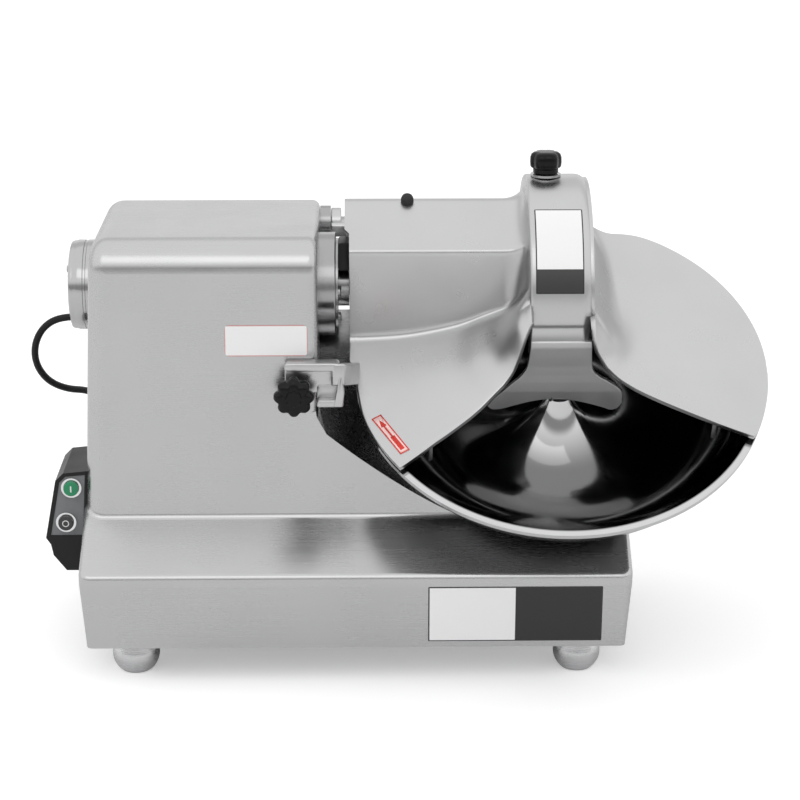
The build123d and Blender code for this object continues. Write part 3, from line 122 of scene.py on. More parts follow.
def smooth_line(points: Points, count: int) -> Array:
    """Even samples of the Catmull-Rom curve through the points.

    Between two points the curve is the cubic whose slope at each is half the step between its neighbours.

    Args:
        points: points that the curve goes through.
        count: number of samples.

    Returns:
        Array of count points.
    """
    p = np.asarray(points, float)
    padded = np.vstack([2 * p[:1] - p[1:2], p, 2 * p[-1:] - p[-2:-1]])
    spans = len(p) - 1
    t = np.linspace(0, spans, SPAN_SAMPLES * spans + 1)[:, None]
    k = np.minimum(t.astype(int), spans - 1)[:, 0]
    u = t - k[:, None]
    a, b, c, d = padded[k], padded[k + 1], padded[k + 2], padded[k + 3]
    dense = 0.5 * (2 * b + (c - a) * u + (2 * a - 5 * b + 4 * c - d) * u**2 + (3 * b - a - 3 * c + d) * u**3)
    return even_line(dense, count)


def even_line(dense: Array, count: int) -> Array:
    """Samples a polyline evenly along its length, count times."""
    length = np.concatenate([[0], np.cumsum(np.linalg.norm(np.diff(dense, axis=0), axis=1))])
    at = np.linspace(0, length[-1], count)
    return np.stack([np.interp(at, length, dense[:, i]) for i in range(dense.shape[1])], axis=1)


def rounded_outline(points: Points, radius: float | Sequence[float], steps: int = 6) -> Array:
    """Closed outline whose corners are quadratic curves that start a radius before each corner.

    Args:
        points: corners of the outline.
        radius: how far from a corner its curve starts and ends, one for all or one for each.
        steps: samples along each corner.

    Returns:
        Array of points.
    """
    p = np.asarray(points, float)
    reach = np.broadcast_to(np.asarray(radius, float), len(p))[:, None]
    back = np.roll(p, 1, axis=0) - p
    ahead = np.roll(p, -1, axis=0) - p
    back_len = np.linalg.norm(back, axis=1, keepdims=True)
    ahead_len = np.linalg.norm(ahead, axis=1, keepdims=True)
    start = p + back / back_len * np.minimum(reach, back_len * LONGEST_CORNER)
    end = p + ahead / ahead_len * np.minimum(reach, ahead_len * LONGEST_CORNER)
    t = np.linspace(0, 1, steps)[None, :, None]
    corner = (1 - t) ** 2 * start[:, None] + 2 * t * (1 - t) * p[:, None] + t**2 * end[:, None]
    return corner.reshape(-1, p.shape[1])


def polar(centre: Place, reach: Array | float, angle: Array) -> Array:
    """Points at a distance and an angle from a centre, with a last axis of two."""
    return np.stack([centre[0] + reach * np.cos(angle), centre[1] + reach * np.sin(angle)], axis=-1)


def smooth_max(a: Array, b: Array, width: float) -> Array:
    """The larger of two values, with a fillet where they differ by less than the width."""
    overlap = np.maximum(width - np.abs(a - b), 0) / width
    return np.maximum(a, b) + overlap**2 * width / 4


# ---- meshes


def put(name: str, data: bpy.types.ID, place: Place = (0, 0, 0), turn: Place = (0, 0, 0)) -> Piece:
    """New object in the scene, at a place in metres and turned by degrees about X, Y and Z."""
    made = bpy.data.objects.new(name, data)
    made.location = place
    made.rotation_euler = [math.radians(a) for a in turn]
    bpy.context.scene.collection.objects.link(made)
    return made


def make_mesh(name: str, points: Array, faces: Iterable[Sequence[int]]) -> Piece:
    """Puts points in the row's frame and faces into a new smooth-shaded object.

    Args:
        name: the piece's name.
        points: places in the machine frame, millimetres.
        faces: corner numbers of each face.

    Returns:
        The new object, at the origin.
    """
    mesh = bpy.data.meshes.new(name)
    mesh.from_pydata(from_machine(points).tolist(), [], [list(map(int, f)) for f in faces])
    mesh.validate()
    mesh.update()
    mesh.shade_smooth()
    return put(name, mesh)


def grid_faces(rows: int, columns: int, closed: bool) -> Array:
    """Corner numbers of the quads of a grid of points, whose rows may close on themselves."""
    i, j = np.meshgrid(np.arange(rows - 1), np.arange(columns if closed else columns - 1), indexing="ij")
    k = (j + 1) % columns
    quads = np.stack([i * columns + j, i * columns + k, (i + 1) * columns + k, (i + 1) * columns + j], axis=-1)
    return quads.reshape(-1, 4)


def face_outwards(piece: Piece) -> None:
    """Turns the faces of a closed piece outwards."""
    work = bmesh.new()
    work.from_mesh(piece.data)
    bmesh.ops.remove_doubles(work, verts=work.verts, dist=1e-7)
    bmesh.ops.recalc_face_normals(work, faces=work.faces)
    work.to_mesh(piece.data)
    work.free()


def sharpen(piece: Piece, degrees: float = SHARP_ANGLE) -> None:
    """Shades smooth, with sharp edges where faces meet at more than an angle."""
    piece.data.shade_smooth()
    piece.data.set_sharp_from_angle(angle=math.radians(degrees))


def apply_modifiers(piece: Piece) -> None:
    """Puts the result of the piece's modifiers into its mesh."""
    bpy.context.view_layer.update()
    graph = bpy.context.evaluated_depsgraph_get()
    done = bpy.data.meshes.new_from_object(piece.evaluated_get(graph))
    piece.modifiers.clear()
    old = piece.data
    piece.data = done
    bpy.data.meshes.remove(old)
    done.name = piece.name


def loft(name: str, rings: Array, caps: bool = True) -> Piece:
    """Closed skin through a stack of rings, each ring a closed row of points.

    Args:
        name: the piece's name.
        rings: array of rings, points and x, y, z in the machine frame.
        caps: whether the first and last ring are closed by a fan to their middle.

    Returns:
        The new piece.
    """
    rows, columns = rings.shape[:2]
    points = rings.reshape(-1, 3)
    faces = [tuple(f) for f in grid_faces(rows, columns, True)]
    if caps:
        for row in (0, rows - 1):
            centre = len(points)
            points = np.vstack([points, rings[row].mean(axis=0)[None]])
            start = row * columns
            faces += [(start + j, start + (j + 1) % columns, centre) for j in range(columns)]
    piece = make_mesh(name, points, faces)
    face_outwards(piece)
    sharpen(piece)
    return piece


def place_axis(flat: Array, along: Array, axis: Axis) -> Array:
    """Joins two cross coordinates and one along an axis: (y, z) for X, (x, z) for Y and (x, y) for Z."""
    order = {Axis.X: (2, 0, 1), Axis.Y: (0, 2, 1), Axis.Z: (0, 1, 2)}[axis]
    joined = np.concatenate([flat, along[..., None]], axis=-1)
    return joined[..., order]


def turned(name: str, profile: Points, centre: Place, axis: Axis,
           lobes: int = 0, depth: float = 0.0, segments: int = 96) -> Piece:
    """Turned piece: radius and place along the axis, closed at both ends, with optional lobes.

    A point at angle a has radius R (1 - depth ((1 - cos(lobes a)) / 2) ** 1.6).

    Args:
        name: the piece's name.
        profile: (radius, place along the axis) pairs, millimetres.
        centre: the two coordinates of the axis in the machine frame.
        axis: direction of the axis.
        lobes: number of lobes round the rim.
        depth: how deep the hollows between lobes are, as a share of the radius.
        segments: points round the axis.

    Returns:
        The new piece.
    """
    p = np.asarray(profile, float)
    angle = np.linspace(0, 2 * math.pi, segments, endpoint=False)
    wave = 1 - depth * ((1 - np.cos(lobes * angle)) / 2) ** 1.6
    radius = p[:, :1] * wave[None]
    along = np.broadcast_to(p[:, 1:2], radius.shape)
    return loft(name, place_axis(polar(centre, radius, angle), along, axis))


def prism(name: str, outline: Array, start: float, end: float, axis: Axis,
          edge: float = 1.0, steps: int = 4) -> Piece:
    """Prism with rounded end edges: the outline shrinks by a quarter circle towards each end.

    Args:
        name: the piece's name.
        outline: closed outline across the axis, millimetres.
        start: first place along the axis.
        end: last place along the axis.
        axis: direction of the prism.
        edge: radius of the round edges.
        steps: rings in each round edge.

    Returns:
        The new piece.
    """
    side = np.roll(outline, -1, axis=0) - np.roll(outline, 1, axis=0)
    side /= np.maximum(np.linalg.norm(side, axis=1, keepdims=True), 1e-9)
    inward = np.stack([-side[:, 1], side[:, 0]], axis=1)
    area = np.sum(outline[:, 0] * np.roll(outline[:, 1], -1) - np.roll(outline[:, 0], -1) * outline[:, 1])
    inward *= 1 if area > 0 else -1
    bend = np.linspace(0, math.pi / 2, steps)
    inset = edge * (1 - np.sin(bend))
    into = edge * (1 - np.cos(bend))
    along = np.concatenate([start + into, (end - into)[::-1]])
    insets = np.concatenate([inset, inset[::-1]])
    flat = outline[None] + inward[None] * insets[:, None, None]
    return loft(name, place_axis(flat, np.broadcast_to(along[:, None], flat.shape[:2]), axis))


def box_outline(lo: Place, hi: Place, corner: float) -> Array:
    """Rectangle between two corners, with rounded corners."""
    return rounded_outline([(lo[0], lo[1]), (hi[0], lo[1]), (hi[0], hi[1]), (lo[0], hi[1])], corner)


def rounded_block(name: str, lo: Place, hi: Place, corner: float, edge: float, axis: Axis) -> Piece:
    """Block between two corners in the machine frame, round along its axis and at its ends."""
    across = [i for i in range(3) if i != axis.value]
    outline = box_outline([lo[i] for i in across], [hi[i] for i in across], corner)
    return prism(name, outline, lo[axis.value], hi[axis.value], axis, edge)


def reshape(piece: Piece, change: Callable[[Array], Array]) -> None:
    """Puts every point of a piece, in metres, where a function of the whole array says."""
    points = np.zeros(len(piece.data.vertices) * 3)
    piece.data.vertices.foreach_get("co", points)
    piece.data.vertices.foreach_set("co", change(points.reshape(-1, 3)).ravel())
    piece.data.update()


def tilt_piece(piece: Piece) -> Piece:
    """Turns a piece that was built with (x, r, h) as its coordinates into its place in the machine frame."""
    reshape(piece, lambda points: from_machine(bowl_to_machine(*(points / MM - SHIFT).T)))
    return piece


def sheet(name: str, grid: Array, facing: tuple[Axis, int], wall: float, edge: float = 0.0,
          segments: int = 2, sharp: float | None = 50.0, uv: Array | None = None) -> Piece:
    """Skin through a grid of points, thickened inwards.

    Args:
        name: the piece's name.
        grid: rows and columns of points in the machine frame.
        facing: axis and sign that the skin faces on the whole.
        wall: thickness in millimetres.
        edge: width of the bevel along its edges, or 0 for none.
        segments: steps in the bevel.
        sharp: angle from which edges are sharp, or None for none.
        uv: a place on the picture plane for each point.

    Returns:
        The new piece.
    """
    piece = make_mesh(name, grid.reshape(-1, 3), grid_faces(*grid.shape[:2], False))
    mesh = piece.data
    if uv is not None:
        corners = np.zeros(len(mesh.loops), dtype=np.int64)
        mesh.loops.foreach_get("vertex_index", corners)
        mesh.uv_layers.new(name="UVMap").data.foreach_set("uv", uv[corners].ravel())
    normals, areas = np.zeros(len(mesh.polygons) * 3), np.zeros(len(mesh.polygons))
    mesh.polygons.foreach_get("normal", normals)
    mesh.polygons.foreach_get("area", areas)
    axis, sign = facing
    if (normals.reshape(-1, 3)[:, axis.value] @ areas) * sign < 0:
        mesh.flip_normals()
    skin = piece.modifiers.new("wall", "SOLIDIFY")
    skin.thickness = wall * MM
    skin.offset = -1.0
    if edge:
        bevel = piece.modifiers.new("edge", "BEVEL")
        bevel.width = edge * MM
        bevel.segments = segments
        bevel.limit_method = "ANGLE"
        bevel.angle_limit = OPEN_EDGE_ANGLE
    apply_modifiers(piece)
    if sharp:
        sharpen(piece, sharp)
    return piece


# ---- shader groups


class Nodes:
    """A node tree with short ways to add and join nodes."""

    def __init__(self, tree: bpy.types.NodeTree) -> None:
        """Keeps the tree."""
        self.tree = tree

    def feed(self, value: object, target: Socket) -> None:
        """Joins a socket to the target, or sets the target to a constant."""
        if isinstance(value, Socket):
            self.tree.links.new(value, target)
        else:
            target.default_value = value

    def fill(self, node: bpy.types.Node, given: dict[str | int, object]) -> bpy.types.Node:
        """Feeds a node's inputs, by name or number."""
        for label, value in given.items():
            self.feed(value, node.inputs[label])
        return node

    def node(self, kind: str, given: dict[str | int, object] | None = None, **settings: object) -> bpy.types.Node:
        """Adds a shader node, sets its properties and feeds its inputs."""
        made = self.tree.nodes.new("ShaderNode" + kind)
        for key, value in settings.items():
            setattr(made, key, value)
        return self.fill(made, given or {})

    def noise(self, vector: Socket, scale: object, detail: float) -> Socket:
        """Noise value at a coordinate, from a scale number or socket."""
        return self.node("TexNoise", {"Detail": detail, "Vector": vector, "Scale": scale}).outputs["Fac"]

    def spread(self, value: Socket, low: float, high: float) -> Socket:
        """Maps the middle of a noise to a range."""
        return self.node("MapRange", {"Value": value, "From Min": NOISE_LOW, "From Max": NOISE_HIGH,
                                      "To Min": low, "To Max": high}).outputs["Result"]

    def math(self, operation: str, a: object, b: object = 0.0) -> Socket:
        """Result of a Math node on two sockets or numbers."""
        return self.node("Math", {0: a, 1: b}, operation=operation).outputs[0]

    def vector(self, operation: str, a: object, b: object) -> Socket:
        """Result of a Vector Math node on two sockets or triples; b is the scale for SCALE."""
        second = "Scale" if operation == "SCALE" else 1
        return self.node("VectorMath", {0: a, second: b}, operation=operation).outputs[0]

    def mix(self, factor: object, a: object, b: object) -> Socket:
        """Colour between two colours."""
        return self.node("Mix", {"Factor": factor, 6: a, 7: b}, data_type="RGBA").outputs[2]


class Group(Nodes):
    """A shader node group with named inputs and outputs, built once."""

    KINDS = {"V": "NodeSocketVector", "C": "NodeSocketColor", "F": "NodeSocketFloat"}

    def __init__(self, name: str, inputs: dict[str, str], outputs: dict[str, str]) -> None:
        """Makes the group's sockets from names and kinds: V for a vector, C for a colour, F for a number."""
        super().__init__(bpy.data.node_groups.new(name, "ShaderNodeTree"))
        for direction, sockets in (("INPUT", inputs), ("OUTPUT", outputs)):
            for label, kind in sockets.items():
                self.tree.interface.new_socket(label, in_out=direction, socket_type=self.KINDS[kind])
        self.inputs = self.tree.nodes.new("NodeGroupInput").outputs
        self.outputs = self.tree.nodes.new("NodeGroupOutput").inputs


SKIN_OUTPUTS = {"Colour": "C", "Roughness": "F", "Height": "F"}


def metal_skin() -> bpy.types.NodeTree:
    """Group for worked metal: clouded tone, fine streaks along one direction and a grain.

    Returns:
        The node group, with Colour, Roughness and Height.
    """
    group = Group("metal_skin", {"Coordinate": "V", "Colour": "C", "Roughness": "F", "Streaks": "V",
                                 "Grain Scale": "F", "Streak Share": "F"}, SKIN_OUTPUTS)
    given = group.inputs
    streak = group.noise(group.vector("MULTIPLY", given["Coordinate"], given["Streaks"]), 1.0, 3.0)
    cloud = group.noise(given["Coordinate"], 9.0, 2.0)
    grain = group.noise(given["Coordinate"], given["Grain Scale"], 2.0)
    smear = group.noise(given["Coordinate"], 26.0, 4.0)
    tone = group.math("MULTIPLY", group.spread(cloud, 0.975, 1.02), group.spread(streak, 0.985, 1.012))
    group.feed(group.vector("SCALE", given["Colour"], tone), group.outputs["Colour"])
    rough = group.math("ADD", given["Roughness"], group.spread(streak, -0.025, 0.03))
    group.feed(group.math("ADD", rough, group.spread(smear, -0.02, 0.035)), group.outputs["Roughness"])
    height = group.math("MULTIPLY", streak, given["Streak Share"])
    rest = group.math("SUBTRACT", 1.0, given["Streak Share"])
    group.feed(group.math("ADD", height, group.math("MULTIPLY", grain, rest)), group.outputs["Height"])
    return group.tree


def moulded_skin() -> bpy.types.NodeTree:
    """Group for moulded plastic and rubber: faint mottling, a fine pebble grain and dull patches.

    Returns:
        The node group, with Colour, Roughness and Height.
    """
    group = Group("moulded_skin", {"Coordinate": "V", "Colour": "C", "Roughness": "F", "Grain Scale": "F"},
                  SKIN_OUTPUTS)
    given = group.inputs
    cloud = group.noise(given["Coordinate"], 40.0, 3.0)
    grain = group.noise(given["Coordinate"], given["Grain Scale"], 2.0)
    group.feed(group.vector("SCALE", given["Colour"], group.spread(cloud, 0.85, 1.15)), group.outputs["Colour"])
    group.feed(group.math("ADD", given["Roughness"], group.spread(cloud, -0.03, 0.05)), group.outputs["Roughness"])
    group.feed(grain, group.outputs["Height"])
    return group.tree


def sticker_fields() -> bpy.types.NodeTree:
    """Group for a bare printed sticker: a thin border and one toned band, from the piece's UV map.

    Returns:
        The node group, with Colour.
    """
    group = Group("sticker_fields", {"Coordinate": "V", "Field": "C", "Band": "C", "Border": "C", "Border U": "F",
                                     "Border V": "F", "Band Top": "F"}, {"Colour": "C"})
    split = group.node("SeparateXYZ", {0: group.inputs["Coordinate"]})
    edges = []
    for axis, width in (("X", "Border U"), ("Y", "Border V")):
        from_middle = group.math("ABSOLUTE", group.math("SUBTRACT", split.outputs[axis], 0.5))
        edges.append(group.math("GREATER_THAN", from_middle, group.math("SUBTRACT", 0.5, group.inputs[width])))
    band = group.math("LESS_THAN", split.outputs["Y"], group.inputs["Band Top"])
    fields = group.mix(band, group.inputs["Field"], group.inputs["Band"])
    border = group.math("MAXIMUM", edges[0], edges[1])
    group.feed(group.mix(border, fields, group.inputs["Border"]), group.outputs["Colour"])
    return group.tree


# Radii in metres that bound the painted light on the bowl: full colour from the first pair out to the rim and on the
# cone inside the second pair, painted shade between.
PAINTED_LIGHT_RINGS = ((0.1715, 0.1735), (0.062, 0.02))


def painted_bowl_shade() -> bpy.types.NodeTree:
    """Group for the bowl's painted shade: full colour on its rim and on the cone round its axis, darker between, a
    painted dark reflection in the polished inside.

    Returns:
        The node group, with the painted shade factor.
    """
    group = Group("painted_bowl_shade", {"Coordinate": "V", "Painted Inner Shade": "F"}, {"Tone": "F"})
    away = group.vector("SUBTRACT", group.inputs["Coordinate"], from_machine(np.zeros(3)).tolist())
    across = group.vector("CROSS_PRODUCT", away, (0.0, -math.sin(TILT), math.cos(TILT)))
    radius = group.node("VectorMath", {0: across}, operation="LENGTH").outputs["Value"]
    painted_lit_masks = [group.node("MapRange", {"Value": radius, "From Min": near, "From Max": far},
                        interpolation_type="SMOOTHSTEP").outputs["Result"] for near, far in PAINTED_LIGHT_RINGS]
    # Painted shade: between the rim and the cone the factor falls to the inner level.
    inner = group.inputs["Painted Inner Shade"]
    above = group.math("MULTIPLY", group.math("MAXIMUM", painted_lit_masks[0], painted_lit_masks[1]), group.math("SUBTRACT", 1.0, inner))
    group.feed(group.math("ADD", above, inner), group.outputs["Tone"])
    return group.tree


@cache
def shared(name: str) -> bpy.types.NodeTree:
    """A node group by name, made the first time it is asked for."""
    return {maker.__name__: maker for maker in (metal_skin, moulded_skin, sticker_fields, painted_bowl_shade)}[name]()


# ---- finishes


class Surface(Nodes):
    """A material with a Principled shader and the shared groups that feed it."""

    def __init__(self, name: str) -> None:
        """Makes the material."""
        self.material = bpy.data.materials.new(name)
        self.material.use_nodes = True
        super().__init__(self.material.node_tree)
        self.shader = self.tree.nodes["Principled BSDF"]

    def group(self, name: str, values: dict[str, object], source: str = "Object") -> bpy.types.Node:
        """Adds a shared group by name, fed with values and with one of the texture coordinates."""
        coordinate = self.node("TexCoord").outputs[source]
        return self.node("Group", {"Coordinate": coordinate, **values}, node_tree=shared(name))

    def wear(self, colour: Socket, skin: bpy.types.Node, strength: float, distance: float) -> None:
        """Feeds the shader a colour, and a skin's roughness and height as a bump of a strength and distance."""
        bump = self.node("Bump", {"Strength": strength, "Distance": distance, "Height": skin.outputs["Height"]})
        self.fill(self.shader, {"Base Color": colour, "Roughness": skin.outputs["Roughness"],
                                "Normal": bump.outputs["Normal"]})


@dataclass(frozen=True)
class MetalFinish:
    """Metal with clouded tone, streaks and grain."""

    name: str
    colour: tuple[float, float, float]
    roughness: float
    streaks: tuple[float, float, float] = (60.0, 60.0, 60.0)
    grain_scale: float = 900.0
    streak_share: float = 0.5
    bump: float = 0.12
    bump_distance: float = 0.0004

    def surface(self) -> Surface:
        """The finish with its nodes."""
        surface = Surface(self.name)
        skin = surface.group("metal_skin", {
            "Colour": (*self.colour, 1.0), "Roughness": self.roughness, "Streaks": self.streaks,
            "Grain Scale": self.grain_scale, "Streak Share": self.streak_share})
        surface.wear(skin.outputs["Colour"], skin, self.bump, self.bump_distance)
        surface.fill(surface.shader, {"Metallic": 1.0})
        return surface

    def build(self) -> bpy.types.Material:
        """The finish as a material."""
        return self.surface().material


@dataclass(frozen=True)
class BowlPaintedShadeFinish:
    """Polished metal with painted shade: its colour is darkened inside as a painted dark reflection, and kept full on
    its rim and on the cone in the middle.
    """

    name: str
    colour: tuple[float, float, float]
    inner_tone: float
    roughness: float

    def build(self) -> bpy.types.Material:
        """The finish as a material."""
        metal = MetalFinish(self.name, self.colour, self.roughness, (30.0, 30.0, 30.0), 900.0, 0.4, 0.01).surface()
        tone = metal.group("painted_bowl_shade", {"Painted Inner Shade": self.inner_tone}).outputs["Tone"]
        base = metal.shader.inputs["Base Color"]
        # Scales the colour by the painted shade factor, which darkens the inside of the bowl.
        metal.feed(metal.vector("SCALE", base.links[0].from_socket, tone), base)
        return metal.material


@dataclass(frozen=True)
class MouldedFinish:
    """Plastic, rubber or enamel with a fine grain."""

    name: str
    colour: tuple[float, float, float]
    roughness: float
    grain_scale: float = 1600.0
    bump: float = 0.1
    coat: float = 0.0
    specular: float = 0.5
    coat_roughness: float = 0.08
    bump_distance: float = 0.0002

    def build(self) -> bpy.types.Material:
        """The finish as a material."""
        surface = Surface(self.name)
        skin = surface.group("moulded_skin", {
            "Colour": (*self.colour, 1.0), "Roughness": self.roughness, "Grain Scale": self.grain_scale})
        surface.wear(skin.outputs["Colour"], skin, self.bump, self.bump_distance)
        surface.fill(surface.shader, {"Coat Weight": self.coat, "Coat Roughness": self.coat_roughness,
                                      "Specular IOR Level": self.specular})
        return surface.material


@dataclass(frozen=True)
class StickerFinish:
    """Bare sticker with a thin border and one toned band at its foot."""

    name: str
    field: tuple[float, float, float]
    band: tuple[float, float, float]
    border: tuple[float, float, float]
    border_share: tuple[float, float]
    band_top: float
    roughness: float = 0.32
    grain_scale: float = 2400.0
    bump: float = 0.05
    bump_distance: float = 0.0001

    def build(self) -> bpy.types.Material:
        """The finish as a material."""
        surface = Surface(self.name)
        fields = surface.group("sticker_fields", {
            "Field": (*self.field, 1.0), "Band": (*self.band, 1.0), "Border": (*self.border, 1.0),
            "Border U": self.border_share[0], "Border V": self.border_share[1], "Band Top": self.band_top}, "UV")
        grain = surface.group("moulded_skin", {"Roughness": self.roughness, "Grain Scale": self.grain_scale})
        surface.wear(fields.outputs["Colour"], grain, self.bump, self.bump_distance)
        return surface.material


Finish = MetalFinish | BowlPaintedShadeFinish | MouldedFinish | StickerFinish
FINISHES: dict[str, Finish] = {
    "casing": MetalFinish("casing_steel", (0.545, 0.545, 0.548), 0.25, (8.0, 700.0, 700.0), 1500.0, 0.8, 0.012),
    "cast_lid": MetalFinish("cast_lid_alloy", (0.57, 0.57, 0.573), 0.29, (30.0, 30.0, 30.0), 700.0, 0.3, 0.02),
    "cast_guard": MetalFinish("cast_guard_alloy", (0.86, 0.86, 0.865), 0.46, (30.0, 30.0, 30.0), 700.0, 0.3, 0.02),
    # The bowl's colour is darkened to 0.3 inside as painted shade; its roughness is 0.1.
    "bowl": BowlPaintedShadeFinish("polished_bowl_steel_painted_shade", (0.62, 0.62, 0.625), 0.3, 0.1),
    "hub_steel": MetalFinish("hub_steel", (0.5, 0.5, 0.505), 0.17, (1400.0, 30.0, 30.0), 1200.0, 0.8, 0.03),
    "turned_steel": MetalFinish("turned_steel", (0.4, 0.4, 0.405), 0.2, (1400.0, 30.0, 30.0), 1200.0, 0.8, 0.05),
    "blade": MetalFinish("ground_blade", (0.72, 0.72, 0.73), 0.17, (200.0, 900.0, 60.0), 1200.0, 0.8, 0.08),
    "screw_steel": MetalFinish("zinc_screws", (0.5, 0.5, 0.5), 0.3, (80.0, 80.0, 80.0), 1500.0, 0.3, 0.15),
    "foot": MetalFinish("satin_foot_alloy", (0.68, 0.68, 0.69), 0.26, (30.0, 30.0, 1500.0), 900.0, 0.8, 0.1),
    "bezel": MetalFinish("bright_bezel", (0.78, 0.78, 0.79), 0.12, (60.0, 60.0, 60.0), 900.0, 0.3, 0.04),
    "motor_iron": MouldedFinish("painted_motor_iron", (0.16, 0.17, 0.18), 0.5, 500.0, 0.3),
    "winding_cover": MouldedFinish("grey_enamel", (0.22, 0.25, 0.28), 0.4, 700.0, 0.2),
    "bronze": MetalFinish("machined_bronze", (0.6, 0.42, 0.2), 0.3, (60.0, 60.0, 60.0), 900.0, 0.4, 0.1),
    "prong": MetalFinish("bright_prong", (0.75, 0.68, 0.48), 0.2, (60.0, 60.0, 60.0), 900.0, 0.4, 0.06),
    "black_plastic": MouldedFinish("black_moulding", (0.008, 0.008, 0.0085), 0.36, 1800.0, 0.08, 0.0, 0.3),
    "knob_plastic": MouldedFinish("glossy_knob", (0.004, 0.004, 0.0045), 0.2, 900.0, 0.02, 0.0, 0.22),
    "green_button": MouldedFinish("green_button", (0.0, 0.2, 0.08), 0.25, 900.0, 0.03, 0.3),
    "dark_button": MouldedFinish("dark_button", (0.02, 0.02, 0.022), 0.25, 900.0, 0.03, 0.3),
    "belt_rubber": MouldedFinish("matt_rubber", (0.02, 0.02, 0.021), 0.75, 1200.0, 0.3),
    "cord_sheath": MouldedFinish("cord_sheath", (0.006, 0.006, 0.0065), 0.42, 1500.0, 0.08, 0.0, 0.3),
    "control_panel": MouldedFinish("grey_panel_sheet", (0.16, 0.165, 0.17), 0.35, 1500.0, 0.08),
    "sticker": StickerFinish("bare_sticker", (0.85, 0.85, 0.85), (0.85, 0.85, 0.85), (0.62, 0.3, 0.3),
                             (0.01, 0.03), -1.0),
    "toned_sticker": StickerFinish("toned_sticker", (0.86, 0.86, 0.86), (0.035, 0.035, 0.035),
                                   (0.02, 0.02, 0.02), (0.025, 0.012), 0.27),
    "wide_sticker": StickerFinish("wide_sticker", (0.86, 0.86, 0.86), (0.02, 0.02, 0.02),
                                  (0.03, 0.03, 0.03), (0.018, 0.008), 0.5),
    "mark_pale": MouldedFinish("printed_plate", (0.85, 0.6, 0.57), 0.4, 1500.0, 0.02),
    "mark": MouldedFinish("printed_arrow", (0.6, 0.03, 0.02), 0.4, 1500.0, 0.02),
    "mark_white": MouldedFinish("moulded_mark", (0.7, 0.7, 0.68), 0.4, 1500.0, 0.02),
}


@cache
def material_for(name: str) -> bpy.types.Material:
    """The material of a finish, built the first time."""
    return FINISHES[name].build()


def dress(piece: Piece, finish: str) -> None:
    """Gives a piece one material in all of its slots."""
    material = material_for(finish)
    if not piece.material_slots:
        piece.data.materials.append(material)
    for slot in piece.material_slots:
        slot.material = material


def attach(piece: Piece, body: str, finish: str, replaced: Sequence[str] = ()) -> None:
    """Dresses a new piece, lets it ride on a body and hides the nodes that it stands for.

    Args:
        piece: the new piece.
        body: the CAD body it moves with.
        finish: its finish.
        replaced: CAD nodes that it replaces.
    """
    dress(piece, finish)
    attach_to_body(piece, body)
    if replaced:
        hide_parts(*replaced)
    LOG.info("%s on %s, %d faces", piece.name, body, len(getattr(piece.data, "polygons", [])))


# ---- lid


